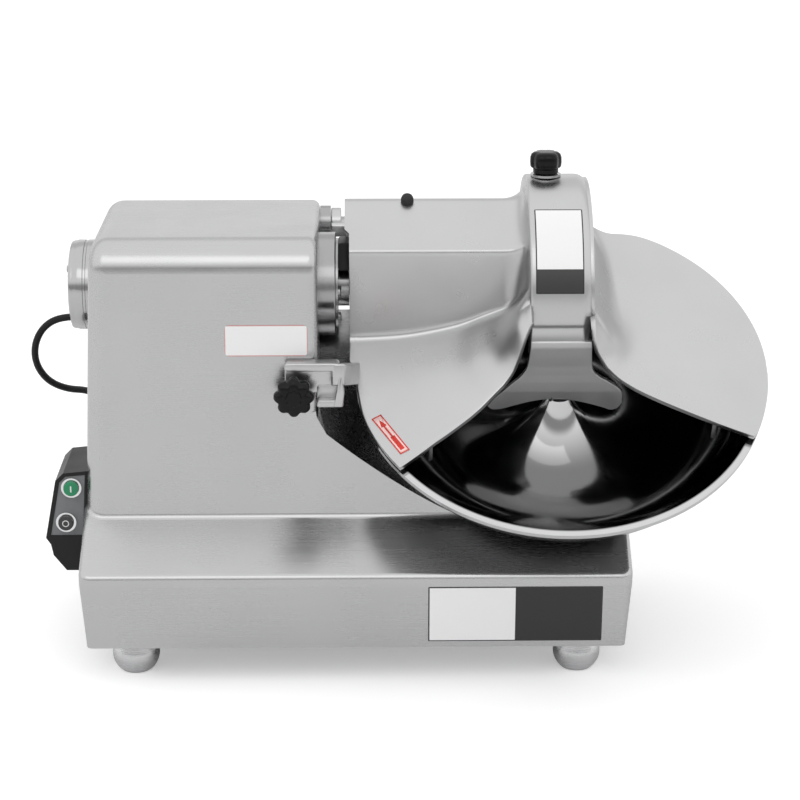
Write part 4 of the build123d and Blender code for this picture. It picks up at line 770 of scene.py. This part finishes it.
@dataclass
class CastLid:
    """The cast lid: two wings, the cover of the knife shaft, the ridge over the knives, hinge arm and lug."""

    left_profile: tuple = ((20, 84), (26, 79), (33, 74), (42, 66), (51, 50), (61, 38.5), (76, 29.5), (97, 19.5),
                           (134, 11), (172, 8), (205, 8))
    right_profile: tuple = ((20, 82), (24, 73), (28, 65), (36, 53), (46, 40), (63, 26), (90, 17.5), (135, 11),
                            (168, 8.5), (205, 8))
    left_mouth: tuple = ((-27, -9), (-29.5, -11), (-37, -24), (-44.1, -35.1), (-52.1, -42.7), (-64.3, -51.8),
                         (-80.5, -64.4), (-110.3, -85.8), (-141, -112), (-180, -142))
    right_mouth: tuple = ((22, -10), (24, -12), (28, -22.5), (37.4, -28.7), (54.5, -34.4), (79, -44.2),
                          (118.9, -61), (160, -79), (180, -88))
    tunnel: tuple = ((183, -20), (168, 10), (126, 92.5), (60, 90.5), (56.5, 79.5), (36, 10), (27.25, -20),
                     (27.25, -110), (183, -110))
    tunnel_rounds: tuple = (4, 4, 11, 3.6, 9, 3, 4, 4, 4)
    tunnel_fillet: float = 7.0
    even_turns: tuple = (42, 116)
    pole: tuple = (80.0, -60.0)
    wall: float = 4.0
    edge: float = 1.1
    back_r: float = 177.0
    rows: int = 200
    first_rows: int = 8
    last_rows: int = 40
    samples: int = 700
    outline_samples: int = 3000
    end_wall_x: tuple = (-180.4, -176.8)
    switch_room: float = 4.0
    bridge_slope: float = 0.27
    blocks: tuple = (
        ("lug_web", (-236.5, -50.4, -1), (-192, -45, 26), 5, 0.8),
        ("lug_web_low", (-209.4, -50.9, -9), (-190, -45.5, 6), 3, 0.6),
        ("lug_ledge", (-236.5, -60.6, 20.2), (-190, -45, 27.2), 3.6, 1.3),
        ("lug_rim", (-209.7, -61.4, -11), (-187, -45.4, -4.5), 2.6, 1.3))
    border: tuple = ((-195.5, -10.5), (-187.5, -10.5), (-186.2, 2), (-188.4, 15), (-190.5, 15), (-193.2, 2))

    def wing_height(self, x: Array, r: Array, profile: tuple) -> Array:
        """Height of a wing: its profile read at the distance from the bowl's axis, the root of x x + r r."""
        line = smooth_line(profile, 400)
        return np.interp(np.hypot(x, r), line[:, 0], line[:, 1])

    def circle(self, x: Array) -> Array:
        """Distance up the rim from the middle to the lid's circle, the root of R R - x x."""
        return np.sqrt(np.maximum(LID_RADIUS**2 - x**2, 0))

    def front_edge(self, x: Array, mouth: tuple) -> Array:
        """Place up the rim of the wing's front edge: the mouth's line, or the lid's circle where that is nearer."""
        line = np.asarray(sorted(mouth))
        return np.maximum(np.interp(x, line[:, 0], line[:, 1]), -self.circle(x))

    def tunnel_reach(self, angle: Array) -> Array:
        """Distance of the tunnel's outline from the pole at each angle."""
        outline = rounded_outline(self.tunnel, self.tunnel_rounds, 12)
        closed = even_line(np.vstack([outline, outline[:1]]), self.outline_samples)
        away = closed - np.asarray(self.pole)
        turn = np.arctan2(away[:, 1], away[:, 0])
        order = np.argsort(turn)
        return np.interp(angle, turn[order], np.hypot(away[:, 0], away[:, 1])[order], period=2 * math.pi)

    def turns(self, start: float, end: float, even: bool) -> Array:
        """Angles of a column's rows, spread evenly or with the middle ones the same for every column."""
        if even:
            return np.linspace(start, end, self.rows)
        low, high = np.radians(self.even_turns)
        first = np.linspace(start, low, self.first_rows, endpoint=False)
        middle = np.linspace(low, high, self.rows - self.first_rows - self.last_rows, endpoint=False)
        return np.concatenate([first, middle, np.linspace(high, end, self.last_rows)])

    def ridge_reach(self, angle: Array) -> Array:
        """Distance of the ridge's circle, less its skin, from the pole at each angle."""
        off = np.asarray(self.pole) - KNIFE_AXIS
        along = off[0] * np.cos(angle) + off[1] * np.sin(angle)
        return -along + np.sqrt(along**2 - off @ off + (RIDGE_RADIUS - RIDGE_SKIN) ** 2)

    def column(self, x: float, front: float, back: float, near: float, profile: tuple, with_tunnel: bool) -> Array:
        """One line of the wing across the lid, from its back edge to its front edge.

        Seen from the pole, the surface lies at the larger of the wing's and the tunnel's distance, with a fillet
        between them. Near the ridge it then rises towards the ridge's circle.

        Args:
            x: place across.
            front: front end up the rim.
            back: back end up the rim.
            near: nearness to the ridge, 0 where the fillet starts and 1 at the ridge's side.
            profile: the wing's profile.
            with_tunnel: whether the tunnel is part of it.

        Returns:
            Array of rows of x, r, h.
        """
        r = np.linspace(back, front, self.samples)
        h = self.wing_height(x, r, profile)
        turn = np.arctan2(h - self.pole[1], r - self.pole[0])
        reach = np.hypot(h - self.pole[1], r - self.pole[0])
        angle = self.turns(turn[0], turn[-1], not with_tunnel)
        reach = np.interp(angle, turn, reach)
        if with_tunnel:
            reach = smooth_max(reach, self.tunnel_reach(angle), self.tunnel_fillet)
        share = 1 - math.sqrt(1 - min(near, 1.0) ** 2)
        reach = reach + np.clip(self.ridge_reach(angle) - reach, 0, None) * share
        return np.column_stack([np.full(self.rows, x), polar(self.pole, reach, angle)])

    def columns(self, ends: Sequence[Array], profile: tuple, with_tunnel: bool) -> Array:
        """A wing's lines, from arrays of the places across, fronts, backs and nearness to the ridge."""
        return np.stack([self.column(*end, profile, with_tunnel) for end in zip(*ends)])

    def shell(self, name: str, columns: Array) -> Piece:
        """Skin through columns of x, r, h, with the lid's wall thickness and narrow bevels."""
        points = bowl_to_machine(*np.moveaxis(columns, -1, 0))
        return sheet(name, points, (Axis.Z, 1), self.wall, self.edge)

    def left_wing(self) -> Piece:
        """Left wing with the cover of the knife shaft; its front left end leaves room for the switch."""
        x = np.unique(np.concatenate([np.linspace(-186, -176, 9), np.linspace(-176, -50, 50),
                                      np.linspace(-50, RIDGE_LEFT + 0.4, 22)]))
        front = self.front_edge(x, self.left_mouth)
        corner = 9.0 - 3.0 * np.sqrt(np.clip(1 - ((x + 178) / 8) ** 2, 0, 1))
        front = np.where(x < -178, corner, np.where(x < -170, front + (x + 170) ** 2 / 64 * 8, front))
        back = np.clip(self.circle(x), 169.0, self.back_r)
        near = np.clip((x - (RIDGE_LEFT - 20)) / 20, 0, 1)
        columns = self.columns((x, front, back, near), self.left_profile, True)
        end = np.clip((-170 - columns[..., 0]) / 16, 0, 1)
        forward = np.clip((86 - columns[..., 1]) / 5, 0, 1)
        columns[..., 0] += self.switch_room * end * forward
        return self.shell("lid_left_wing", columns)

    def end_wall(self) -> Piece:
        """Wall that closes the cover's left end, with the slot that clears the shaft's bearing nose."""
        angle = np.radians(np.linspace(48, 116, 60))
        top = polar(self.pole, self.tunnel_reach(angle) - 2.0, angle)
        foot = np.array([(40, 12), (60, 10), (60, 52), (66, 60), (106, 60), (112, 52), (112, 10), (150, 10)])
        return tilt_piece(prism("lid_end_wall", np.vstack([top, foot]), *self.end_wall_x, Axis.X, 0.6))

    def right_wing(self) -> Piece:
        """Right wing, which rises to the ridge in a wide hollow curve."""
        x = np.unique(np.concatenate([np.linspace(RIDGE_RIGHT - 0.4, 56, 34), np.linspace(56, 170, 42),
                                      np.linspace(170, 178.3, 9)]))
        front = self.front_edge(x, self.right_mouth)
        back = np.minimum(self.circle(x), self.back_r) - 8.5 * np.exp(-((x - 46) / 24) ** 2)
        near = np.clip(1 - (x - RIDGE_RIGHT) / 30, 0, 1)
        return self.shell("lid_right_wing", self.columns((x, front, back, near), self.right_profile, False))

    def ridge_line(self, count: int) -> Array:
        """The ridge's middle line: the circle about the knife shaft, then a hollow curve out to the guard."""
        degrees = np.linspace(-9, 174, 240)
        reach = RIDGE_RADIUS - 1.1 * np.exp(-((degrees - 158) / 1.5) ** 2) - 0.5 * np.clip((degrees - 158) / 2, 0, 1)
        return even_line(polar(KNIFE_AXIS, reach, np.radians(degrees)), count)

    def ridge(self) -> Piece:
        """The ridge: a cross line with a tight left round and a wide right round, carried along the middle line."""
        line = self.ridge_line(190)
        along = np.gradient(line, axis=0)
        along /= np.linalg.norm(along, axis=1, keepdims=True)
        normal = np.column_stack([along[:, 1], -along[:, 0]])
        left = np.linspace(0, math.pi / 2, 7)
        right = np.linspace(0, math.pi / 2, 12)
        cross = np.vstack([
            np.column_stack([np.full(4, RIDGE_LEFT), np.linspace(30, 6, 4)]),
            np.column_stack([RIDGE_LEFT + 3 - 3 * np.cos(left), 3 - 3 * np.sin(left)]),
            np.column_stack([np.linspace(RIDGE_LEFT + 6, RIDGE_RIGHT - 13, 8), np.zeros(8)]),
            np.column_stack([RIDGE_RIGHT - 11 + 11 * np.sin(right), 11 - 11 * np.cos(right)]),
            np.column_stack([np.full(3, RIDGE_RIGHT), np.linspace(15, 30, 3)])])
        share = np.where(line[:, 0] > KNIFE_R, 1, np.clip((line[:, 1] - 26) / 30, 0.3, 1))
        depth = np.minimum(cross[None, :, 1], np.maximum(30 * share[:, None], 6.0))
        outward = np.sign(np.sum(normal * (line - KNIFE_AXIS), axis=1))[:, None]
        r, h = (line[:, None, i] - outward * normal[:, None, i] * depth for i in (0, 1))
        return self.shell("lid_ridge", np.stack([np.broadcast_to(cross[None, :, 0], r.shape), r, h], axis=-1))

    def tabs(self) -> list[Piece]:
        """The two small feet that hang from the wings over the bowl's rim."""
        made = []
        for name, degrees in (("lid_tab_right", -24.5), ("lid_tab_left", -144.5)):
            c, s = math.cos(math.radians(degrees)), math.sin(math.radians(degrees))
            outline = box_outline((140, -4), (144, 4), 1.2) @ np.array([[c, s], [-s, c]])
            made.append(tilt_piece(prism(name, outline, -14, 9, Axis.Z, 0.8)))
        return made

    def hinge_arm(self) -> list[Piece]:
        """Arm and knuckle at the back left, which turn on the hinge pin."""
        arm = rounded_block("lid_hinge_arm", (-199, 124, 92.5), (-172, 148, 105.5), 4, 1.2, Axis.X)
        knuckle = turned("lid_knuckle", [(5.1, -199), (12.2, -199), (13, -198.2), (13, -190.8), (12.2, -190),
                                         (5.1, -190)], (148.0, 101.6), Axis.X)
        return [arm, knuckle]

    def bridge(self) -> Piece:
        """Bridge that joins the lug to the left wing; it falls towards the back with the given slope."""
        plan = rounded_outline([(-197.5, -60.8), (-185.5, -60.8), (-180.5, -50), (-174, -20), (-173, 7),
                                (-184, 7), (-197.5, -46)], 4.0)
        piece = prism("lug_bridge", plan, 8.0, 27.2, Axis.Z, 1.8)

        def fall(points: Array) -> Array:
            """Lowers points by the slope times their distance behind the foremost one."""
            points[:, 2] -= self.bridge_slope * (points[:, 1] - points[:, 1].min())
            return points

        reshape(piece, fall)
        return piece

    def lug(self) -> list[Piece]:
        """Lug before the housing: web with a ledge over the clamp knob, a border, a lower rim and a bridge."""
        *plates, rim = self.blocks
        pieces = [rounded_block(*row, Axis.Y) for row in plates]
        pieces.append(prism("lug_border", np.array(self.border), -61.9, -45.2, Axis.Y, 1.4))
        return [*pieces, rounded_block(*rim, Axis.Y), self.bridge()]

    def build(self) -> None:
        """Makes and attaches all of the lid."""
        attach(self.left_wing(), "lid", "cast_lid", ["lid_shell"])
        for piece in (self.ridge(), self.right_wing(), self.end_wall(), *self.tabs(), *self.hinge_arm(),
                      *self.lug()):
            attach(piece, "lid", "cast_lid")


@dataclass
class CombGuard:
    """Guard under the ridge's foot: an arched lip, a flange, comb fingers between the knives and a pin."""

    left: tuple = ((-27.5, 46), (-28.3, 30), (-30, 16), (-35, 6.5), (-43, -2), (-50, -10), (-57, -18.5), (-62.5, -28))
    right: tuple = ((24.5, 46), (25.3, 30), (27, 15), (32, 7.5), (40, 2), (48, -4), (53.5, -11), (54.5, -24))
    bottom: tuple = ((-62.5, -28), (-58, -32), (-49, -31), (-36, -26), (-24, -22), (-12, -19.8), (5, -19.8),
                     (22, -24), (38, -30), (45, -33), (51, -31), (54.5, -24))
    rows: int = 60
    columns: int = 64
    depth: tuple = ((46, -5.0), (40, -6.6), (30, -7.2), (18, -7.9), (8, -9.2), (0, -10.6), (-10, -12.0), (-34, -13.2))

    def skirt(self) -> Piece:
        """Foot of the ridge, which widens into the arched lip over the knives.

        Its four sides are curves in x and h, and a point inside is the sum of the lines between opposite sides
        less the bilinear blend of the corners. The depth up the rim is read from the height.
        """
        left, right = (smooth_line(side, self.rows) for side in (self.left, self.right))
        bottom = smooth_line(self.bottom, self.columns)
        top = np.linspace(left[0], right[0], self.columns)
        v = np.linspace(0, 1, self.rows)[:, None, None]
        u = np.linspace(0, 1, self.columns)[None, :, None]
        flat = (1 - v) * top[None] + v * bottom[None] + (1 - u) * left[:, None] + u * right[:, None]
        flat = flat - ((1 - v) * ((1 - u) * top[0] + u * top[-1]) + v * ((1 - u) * bottom[0] + u * bottom[-1]))
        line = np.asarray(self.depth)[::-1]
        r = np.interp(flat[..., 1], line[:, 0], line[:, 1])
        return sheet("guard_skirt", bowl_to_machine(flat[..., 0], r, flat[..., 1]), (Axis.Y, -1), 4.0, 1.3, 3)

    def build(self) -> None:
        """Makes and attaches the guard."""
        attach(self.skirt(), "lid", "cast_guard", ["comb_guard"])
        pieces = [rounded_block("guard_flange", (-27.5, -7.4, 0.8), (24, 1.6, 5.2), 1.5, 0.8, Axis.X)]
        for number, middle in enumerate((-12.5, -2.5, 7.5)):
            pieces.append(rounded_block(f"comb_finger_{number + 1}", (middle - 1.5, -8, -5), (middle + 1.5, 58, 4),
                                        1.3, 1.2, Axis.Y))
        pieces.append(turned("guard_pin", [(1.2, -25.5), (2.1, -24.8), (2.1, -17)], (-7, -10.4), Axis.Z, segments=32))
        for piece in pieces:
            attach(tilt_piece(piece), "lid", "cast_lid")
        bumper = turned("lid_bumper", [(4.2, 90.5), (5.4, 90.8), (5.6, 92.5), (5.5, 95.5), (4.6, 97.8), (2.6, 99.2)],
                        (-131.6, 119.0), Axis.Z, segments=48)
        attach(tilt_piece(bumper), "lid", "belt_rubber", ["rear_bumper"])


# ---- knobs and switches


@dataclass
class Knobs:
    """The clamp knob before the housing and the knob on the ridge, both lobed and glossy."""

    clamp_place: tuple = (-228.5, 0.0)
    top_place: tuple = (-10.8, KNIFE_Y)

    def build(self) -> None:
        """Makes and attaches both knobs."""
        clamp = turned("clamp_knob_head", [
            (7, -59.3), (14.8, -59.4), (16.6, -60.6), (17.3, -63.5), (17.2, -67), (16.4, -70), (14.6, -72.1),
            (11.5, -73.1), (7.5, -73.2), (6.6, -72.4)], self.clamp_place, Axis.Y, 8, 0.15, 160)
        attach(clamp, "clamp_handle", "knob_plastic", ["clamp_knob"])
        head = turned("top_knob_head", [
            (8, 168.6), (12.4, 168.8), (13.5, 170.2), (13.8, 174), (13.6, 178), (12.6, 180.8), (10.4, 182.3),
            (6.5, 182.7)], self.top_place, Axis.Z, 6, 0.1, 144)
        attach(head, "top_handle", "knob_plastic", ["top_knob"])
        neck = turned("top_knob_neck", [(10.2, 163.8), (11, 164.6), (11, 168), (10.2, 168.8)], self.top_place, Axis.Z)
        attach(neck, "top_handle", "knob_plastic")


@dataclass
class Switches:
    """Interlock switch at the lid's left end and the marks on the push-buttons."""

    start: tuple = (-422.6, -91.8)
    stop: tuple = (-428.2, -123.2)
    face_y: float = -35.0

    def build(self) -> None:
        """Makes and attaches the switch and the marks."""
        switch = rounded_block("interlock_case", (-191.8, 25.7, 85.7), (-181.2, 51.7, 110.7), 3.2, 1.0, Axis.Y)
        attach(switch, "casing", "black_plastic", ["interlock_switch"])
        bar = rounded_block("start_mark", (self.start[0] - 0.6, self.face_y - 0.15, self.start[1] - 2.8),
                            (self.start[0] + 0.6, self.face_y + 0.6, self.start[1] + 2.8), 0.5, 0.1, Axis.Y)
        attach(bar, "start", "mark_white")
        turn = np.linspace(0, 2 * math.pi, 48, endpoint=False)
        section = np.linspace(0, 2 * math.pi, 8, endpoint=False)
        flat = polar(self.stop, 2.6 + 0.5 * np.cos(section)[None], turn[:, None])
        depth = np.broadcast_to(self.face_y + 0.25 + 0.45 * np.sin(section)[None], flat.shape[:2])
        rings = place_axis(flat, depth, Axis.Y)
        ring = loft("stop_mark", np.concatenate([rings, rings[:1]]), caps=False)
        attach(ring, "stop", "mark_white")


@dataclass
class AttachmentHub:
    """Socket on the housing's left wall with stepped rims, and the small screw on its face."""

    radius: float = 39.5
    bore: float = 17.5
    face: float = -426.2
    root: float = -399.0

    def build(self) -> None:
        """Makes and attaches the hub and its screw."""
        r, a = self.radius, self.face
        hub = turned("hub_socket", [
            (self.bore, self.root), (self.bore, a + 1.4), (self.bore + 1.4, a), (r - 4.2, a), (r - 1.6, a + 0.9),
            (r - 0.7, a + 3.0), (r - 0.7, a + 5.4), (r, a + 6.4), (r, a + 12.6), (r - 0.6, a + 13.2),
            (r - 0.6, a + 15.0), (r, a + 15.6), (r, self.root)], (KNIFE_Y, KNIFE_Z), Axis.X, segments=144)
        attach(hub, "casing", "hub_steel", ["attachment_hub"])
        screw = turned("hub_set_screw", [(1.2, a - 1.3), (2.6, a - 1.6), (3.0, a - 1.2), (3.0, a + 0.6)],
                       (KNIFE_Y - 22.0, KNIFE_Z + 19.5), Axis.X, segments=32)
        attach(screw, "casing", "screw_steel", ["hub_screw"])


# ---- stickers


@dataclass
class Stickers:
    """Bare stickers on the housing, the base and the ridge, and a plain outlined arrow on the left wing."""

    thickness: float = 0.3
    drape_steps: int = 8

    def spread(self, low: float, high: float, corner: float, count: int) -> Array:
        """Places from low to high that lie closer near both ends, within the reach of a corner's round."""
        turn = np.linspace(0, math.pi / 2, 6)
        way = 1 if high > low else -1
        start = low + way * corner * (1 - np.cos(turn))
        end = high - way * corner * (1 - np.cos(turn))[::-1]
        return np.concatenate([start, np.linspace(start[-1], end[0], count)[1:-1], end])

    def patch(self, name: str, x: Array, rows: Array, corner: float, span: float, turned_uv: bool,
              place: Callable[[Array, Array], Array]) -> Piece:
        """Thin sheet with round corners, with a UV map of its own from corner to corner.

        Args:
            name: the piece's name.
            x: places across.
            rows: places up, in the units that place reads.
            corner: radius of the corners in millimetres.
            span: the sheet's height in millimetres.
            turned_uv: whether U runs up instead of across.
            place: works out points in the machine frame from places across and up.

        Returns:
            The new piece.
        """
        across, up = np.meshgrid(x, rows)
        height = abs(rows[-1] - rows[0])
        from_end = np.minimum(np.abs(rows - rows[0]), np.abs(rows - rows[-1])) / height * span
        lack = np.clip(corner - from_end, 0, corner)
        pull = corner - np.sqrt(np.maximum(corner**2 - lack**2, 0))
        middle, half = (x[0] + x[-1]) / 2, abs(x[-1] - x[0]) / 2
        across = middle + (across - middle) * (1 - pull[:, None] / half)
        u = (across.ravel() - x[0]) / (x[-1] - x[0])
        v = (up.ravel() - rows[0]) / (rows[-1] - rows[0])
        uv = np.column_stack([v, u] if turned_uv else [u, v])
        return sheet(name, place(across, up), (Axis.Y, -1), self.thickness, sharp=SHARP_ANGLE, uv=uv)

    def housing(self) -> Piece:
        """Wide bare sticker on the housing's front."""
        def place(x: Array, z: Array) -> Array:
            """Points on the flat front."""
            return np.stack([x, np.full(x.shape, FRONT_Y - STICKER_LIFT), z], axis=-1)
        return self.patch("housing_sticker", self.spread(-287, -217, 4, 8), self.spread(29.3, 56.4, 4, 5), 4.0,
                          27.1, False, place)

    def base(self) -> Piece:
        """Bare sticker on the base's front, which leans in towards its foot."""
        def place(x: Array, z: Array) -> Array:
            """Points on the leaning front."""
            return np.stack([x, BASE_FRONT + 5.0 * np.maximum(-157.7 - z, 0) / 57.3 - STICKER_LIFT, z], axis=-1)
        return self.patch("base_sticker", self.spread(32, -116, 1, 10), self.spread(-209.5, -158.5, 1, 6), 1.0,
                          51.0, True, place)

    def ridge(self) -> Piece:
        """Bare sticker that follows the ridge's round."""
        reach = RIDGE_RADIUS + STICKER_LIFT

        def place(x: Array, degrees: Array) -> Array:
            """Points on the ridge's circle."""
            return bowl_to_machine(x, *np.moveaxis(polar(KNIFE_AXIS, reach, np.radians(degrees)), -1, 0))
        return self.patch("ridge_sticker", self.spread(-24.2, 16.6, 1, 10), self.spread(139.5, 93.5, 0.6, 36), 1.0,
                          77.0, False, place)

    def drape(self, lid: CastLid, name: str, outlines: Sequence[Array], lift: float) -> Piece:
        """Thin ring between two outlines in plan, laid on the left wing at a height over it."""
        t = np.linspace(0, 1, self.drape_steps, endpoint=False)[None, :, None]
        grid = np.stack([(line[:, None] * (1 - t) + np.roll(line, -1, axis=0)[:, None] * t).reshape(-1, 2)
                         for line in outlines])
        grid = np.concatenate([grid, grid[:, :1]], axis=1)
        h = lid.wing_height(grid[..., 0], grid[..., 1], lid.left_profile) + lift
        return sheet(name, bowl_to_machine(grid[..., 0], grid[..., 1], h), (Axis.Z, 1), self.thickness, sharp=None)

    def arrow(self, lid: CastLid) -> None:
        """Plate with a border and an arrow along it, laid on the left wing."""
        tip, tail = np.array([-159.5, -55.5]), np.array([-135.5, -94.5])
        along = tail - tip
        side = np.array([-along[1], along[0]]) / np.linalg.norm(along)

        def plan(shape: Array) -> Array:
            """Places from shares of the plate's length and millimetres to its side."""
            return tip + along * shape[:, :1] + side * shape[:, 1:]

        def shrunk(length: float, width: float) -> Array:
            """The plate's outline, shorter and narrower about its middle."""
            return plan(np.column_stack([0.5 + (plate[:, 0] - 0.5) * length, plate[:, 1] * width]))

        plate = np.array([(0.0, 4.6), (1.0, 4.6), (1.0, -4.6), (0.0, -4.6)])
        arrow = np.array([(0.1, 0.0), (0.28, 2.6), (0.28, 0.7), (0.56, 0.7), (0.56, 2.0), (0.92, 2.0),
                          (0.92, -2.0), (0.56, -2.0), (0.56, -0.7), (0.28, -0.7), (0.28, -2.6)])
        spine = tip + along * np.clip(arrow[:, :1], 0.2, 0.9)
        for name, outlines, lift, finish in (
                ("arrow_plate", (plan(plate), shrunk(0.5, 0.02)), 0.35, "mark_pale"),
                ("arrow_border", (plan(plate), shrunk(0.955, 0.78)), 0.5, "mark"),
                ("arrow_mark", (plan(arrow), spine), 0.5, "mark")):
            attach(self.drape(lid, name, outlines, lift), "lid", finish)

    def build(self, lid: CastLid) -> None:
        """Makes and attaches all stickers."""
        attach(self.housing(), "casing", "sticker")
        attach(self.base(), "casing", "wide_sticker")
        attach(self.ridge(), "lid", "toned_sticker")
        self.arrow(lid)


# ---- mains lead


@dataclass
class MainsLead:
    """The lead: a short loop from the housing's left wall, down behind it and into a neat coil on the floor."""

    diameter: float = 6.5
    exit: tuple = (-429.06, 122.0, 20.0)
    route: tuple = ((-446, 122.5, 20), (-462.5, 124, 10), (-471.5, 127, -8), (-471.5, 132, -28), (-462, 139, -46),
                    (-446, 150, -57), (-430, 167, -63), (-416, 184, -75), (-405, 196, -96), (-398, 202, -122),
                    (-394, 204, -149), (-391, 204, -176), (-386, 202, -202), (-377, 200, -224),
                    (-362, 199, -239), (-342, 198, -242.7), (-318, 192, -242.7), (-300, 189.5, -242.7))
    tail: tuple = ((-298, 189.75, -236.2), (-289, 189.8, -235.6), (-281, 189.85, -235), (-277.9, 189.85, -235))
    coil_centre: tuple = (-298.0, 232.0)
    coil_r: float = 42.25
    coil_floor: float = -242.75
    turns: float = 5.0
    points_per_turn: int = 16
    step_share: float = 0.15
    length: float = 1.52

    def coil(self) -> Array:
        """Turns of the coil: a ring steps inwards twice, climbs a layer and steps outwards twice.

        With u the turns made, each step is a smooth rise from 0 to 1 over a share of a turn, one diameter high.
        """
        u = np.arange(1, int(self.turns * self.points_per_turn)) / self.points_per_turn

        def step(start: float) -> Array:
            """Smooth rise from 0 to 1 that starts after a number of turns."""
            t = np.clip((u - start) / self.step_share, 0, 1)
            return t * t * (3 - 2 * t)

        radius = self.coil_r - self.diameter * (step(0.70) + step(1.70) - step(3.38) - step(4.38))
        z = self.coil_floor + self.diameter * step(2.53)
        return np.column_stack([polar(self.coil_centre, radius, -math.pi / 2 + 2 * math.pi * u), z])

    def build(self) -> None:
        points = from_machine(np.vstack([[self.exit], self.route, self.coil(), self.tail]))
        curve = bpy.data.curves.new("mains_lead", "CURVE")
        curve.dimensions = "3D"
        spline = curve.splines.new("NURBS")
        spline.points.add(len(points) - 1)
        spline.points.foreach_set("co", np.column_stack([points, np.ones(len(points))]).ravel())
        spline.order_u = 3
        spline.use_endpoint_u = True
        curve.bevel_depth = self.diameter / 2 * MM
        curve.bevel_resolution = 5
        curve.resolution_u = 6
        curve.use_fill_caps = True
        lead = put("mains_lead", curve)
        curve.materials.append(material_for("cord_sheath"))
        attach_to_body(lead, "casing")
        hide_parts("cord_tube", "cord_coil")
        LOG.info("mains_lead on casing, %d points", len(points))


# ---- carried-over solids


def dress_nodes() -> None:
    """Gives every CAD node the finish that bears its slot's name; the control panel has a finish of its own."""
    own = {"control_panel": "control_panel"}
    for name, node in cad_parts.items():
        dress(node, own.get(name, node.material_slots[0].material.name.split(".")[0]))
    LOG.info("dressed %d nodes", len(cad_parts))


# ---- studio


@dataclass
class Studio:
    """Pale floor, soft lamps, a plain sky and the camera."""

    camera_place: tuple = (-0.03245, -1.99834, 0.8319)
    camera_turn: tuple = (73.0, 0.0, -0.8)
    lens: float = 108.0
    sky_strength: float = 1.1
    floor_half: float = 14.0
    floor_tone: float = 0.8
    floor_roughness: float = 0.7
    floor_specular: float = 0.2
    floor_glow: float = 0.34
    levels: tuple = ((0, 0.3), (9, 0.32), (21, 0.98), (125, 0.98), (138, 0.72), (153, 0.7), (165, 0.88), (180, 0.8))
    lamps: tuple = (
        ("front_softbox", (-0.6, -2.6, 2.6), (50.0, 0.0, -12.0), 3.2, 1.4, 8.0),
        ("left_softbox", (-2.4, -0.9, 2.2), (48.0, 0.0, -70.0), 1.2, 1.2, 10.0),
    )

    def camera(self) -> None:
        """The camera, in front and a little above."""
        data = bpy.data.cameras.new("camera")
        data.lens = self.lens
        data.sensor_width = 36.0
        bpy.context.scene.camera = put("camera", data, self.camera_place, self.camera_turn)

    def light(self) -> None:
        """Soft area lamps: name, place, turn in degrees, width, height and power."""
        for name, place, turn, width, height, power in self.lamps:
            data = bpy.data.lights.new(name, "AREA")
            data.shape = "RECTANGLE"
            data.size, data.size_y, data.energy = width, height, power
            put(name, data, place, turn).visible_glossy = name == "front_softbox"

    def sky(self) -> None:
        """White to the camera; elsewhere a grey that depends on the angle from the front horizon over the top."""
        world = bpy.data.worlds.new("studio_sky")
        bpy.context.scene.world = world
        world.use_nodes = True
        world.node_tree.nodes.clear()
        nodes = Nodes(world.node_tree)
        split = nodes.node("SeparateXYZ", {0: nodes.node("TexCoord").outputs["Generated"]})
        turn = nodes.math("ARCTAN2", split.outputs["Z"], nodes.math("MULTIPLY", split.outputs["Y"], -1.0))
        ramp = nodes.node("ValToRGB", {"Fac": nodes.math("DIVIDE", turn, math.pi)})
        stops = ramp.color_ramp
        stops.interpolation = "EASE"
        first, last = self.levels[0], self.levels[-1]
        stops.elements[0].position, stops.elements[1].position = first[0] / 180, last[0] / 180
        for stop, entry in zip(stops.elements, (first, last)):
            stop.color = (entry[1], entry[1], entry[1], 1)
        for degrees, value in self.levels[1:-1]:
            stops.elements.new(degrees / 180).color = (value, value, value, 1)
        felt = nodes.node("Background", {"Color": ramp.outputs["Color"], "Strength": self.sky_strength})
        shown = nodes.node("Background", {"Color": (1, 1, 1, 1)})
        seen = nodes.node("LightPath").outputs["Is Camera Ray"]
        mix = nodes.node("MixShader", {0: seen, 1: felt.outputs[0], 2: shown.outputs[0]})
        nodes.node("OutputWorld", {"Surface": mix.outputs[0]})

    def floor(self) -> None:
        """A wide pale floor that turns white to the camera where no shadow falls."""
        size = self.floor_half
        mesh = bpy.data.meshes.new("studio_floor")
        mesh.from_pydata([(-size, -size, 0), (size, -size, 0), (size, size, 0), (-size, size, 0)], [], [(0, 1, 2, 3)])
        surface = Surface("studio_floor")
        surface.fill(surface.shader, {"Base Color": (*[self.floor_tone] * 3, 1), "Roughness": self.floor_roughness,
                                      "Specular IOR Level": self.floor_specular})
        seen = surface.node("LightPath").outputs["Is Camera Ray"]
        glow = surface.node("Emission", {"Strength": surface.math("MULTIPLY", seen, self.floor_glow)})
        total = surface.node("AddShader", {0: surface.shader.outputs[0], 1: glow.outputs[0]})
        surface.fill(surface.tree.nodes["Material Output"], {"Surface": total.outputs[0]})
        mesh.materials.append(surface.material)
        put("studio_floor", mesh)

    def build(self) -> None:
        """Makes the whole studio."""
        self.camera()
        self.light()
        self.sky()
        self.floor()
        bpy.context.scene.view_settings.view_transform = "Standard"


def main() -> None:
    """Builds every sub-assembly in order."""
    logging.basicConfig(level=logging.INFO, format="%(name)s: %(message)s")
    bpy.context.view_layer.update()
    Studio().build()
    MainsLead().build()
    dress_nodes()
    lid = CastLid()
    lid.build()
    CombGuard().build()
    Knobs().build()
    Switches().build()
    AttachmentHub().build()
    Stickers().build(lid)


if __name__ == "__main__":
    main()
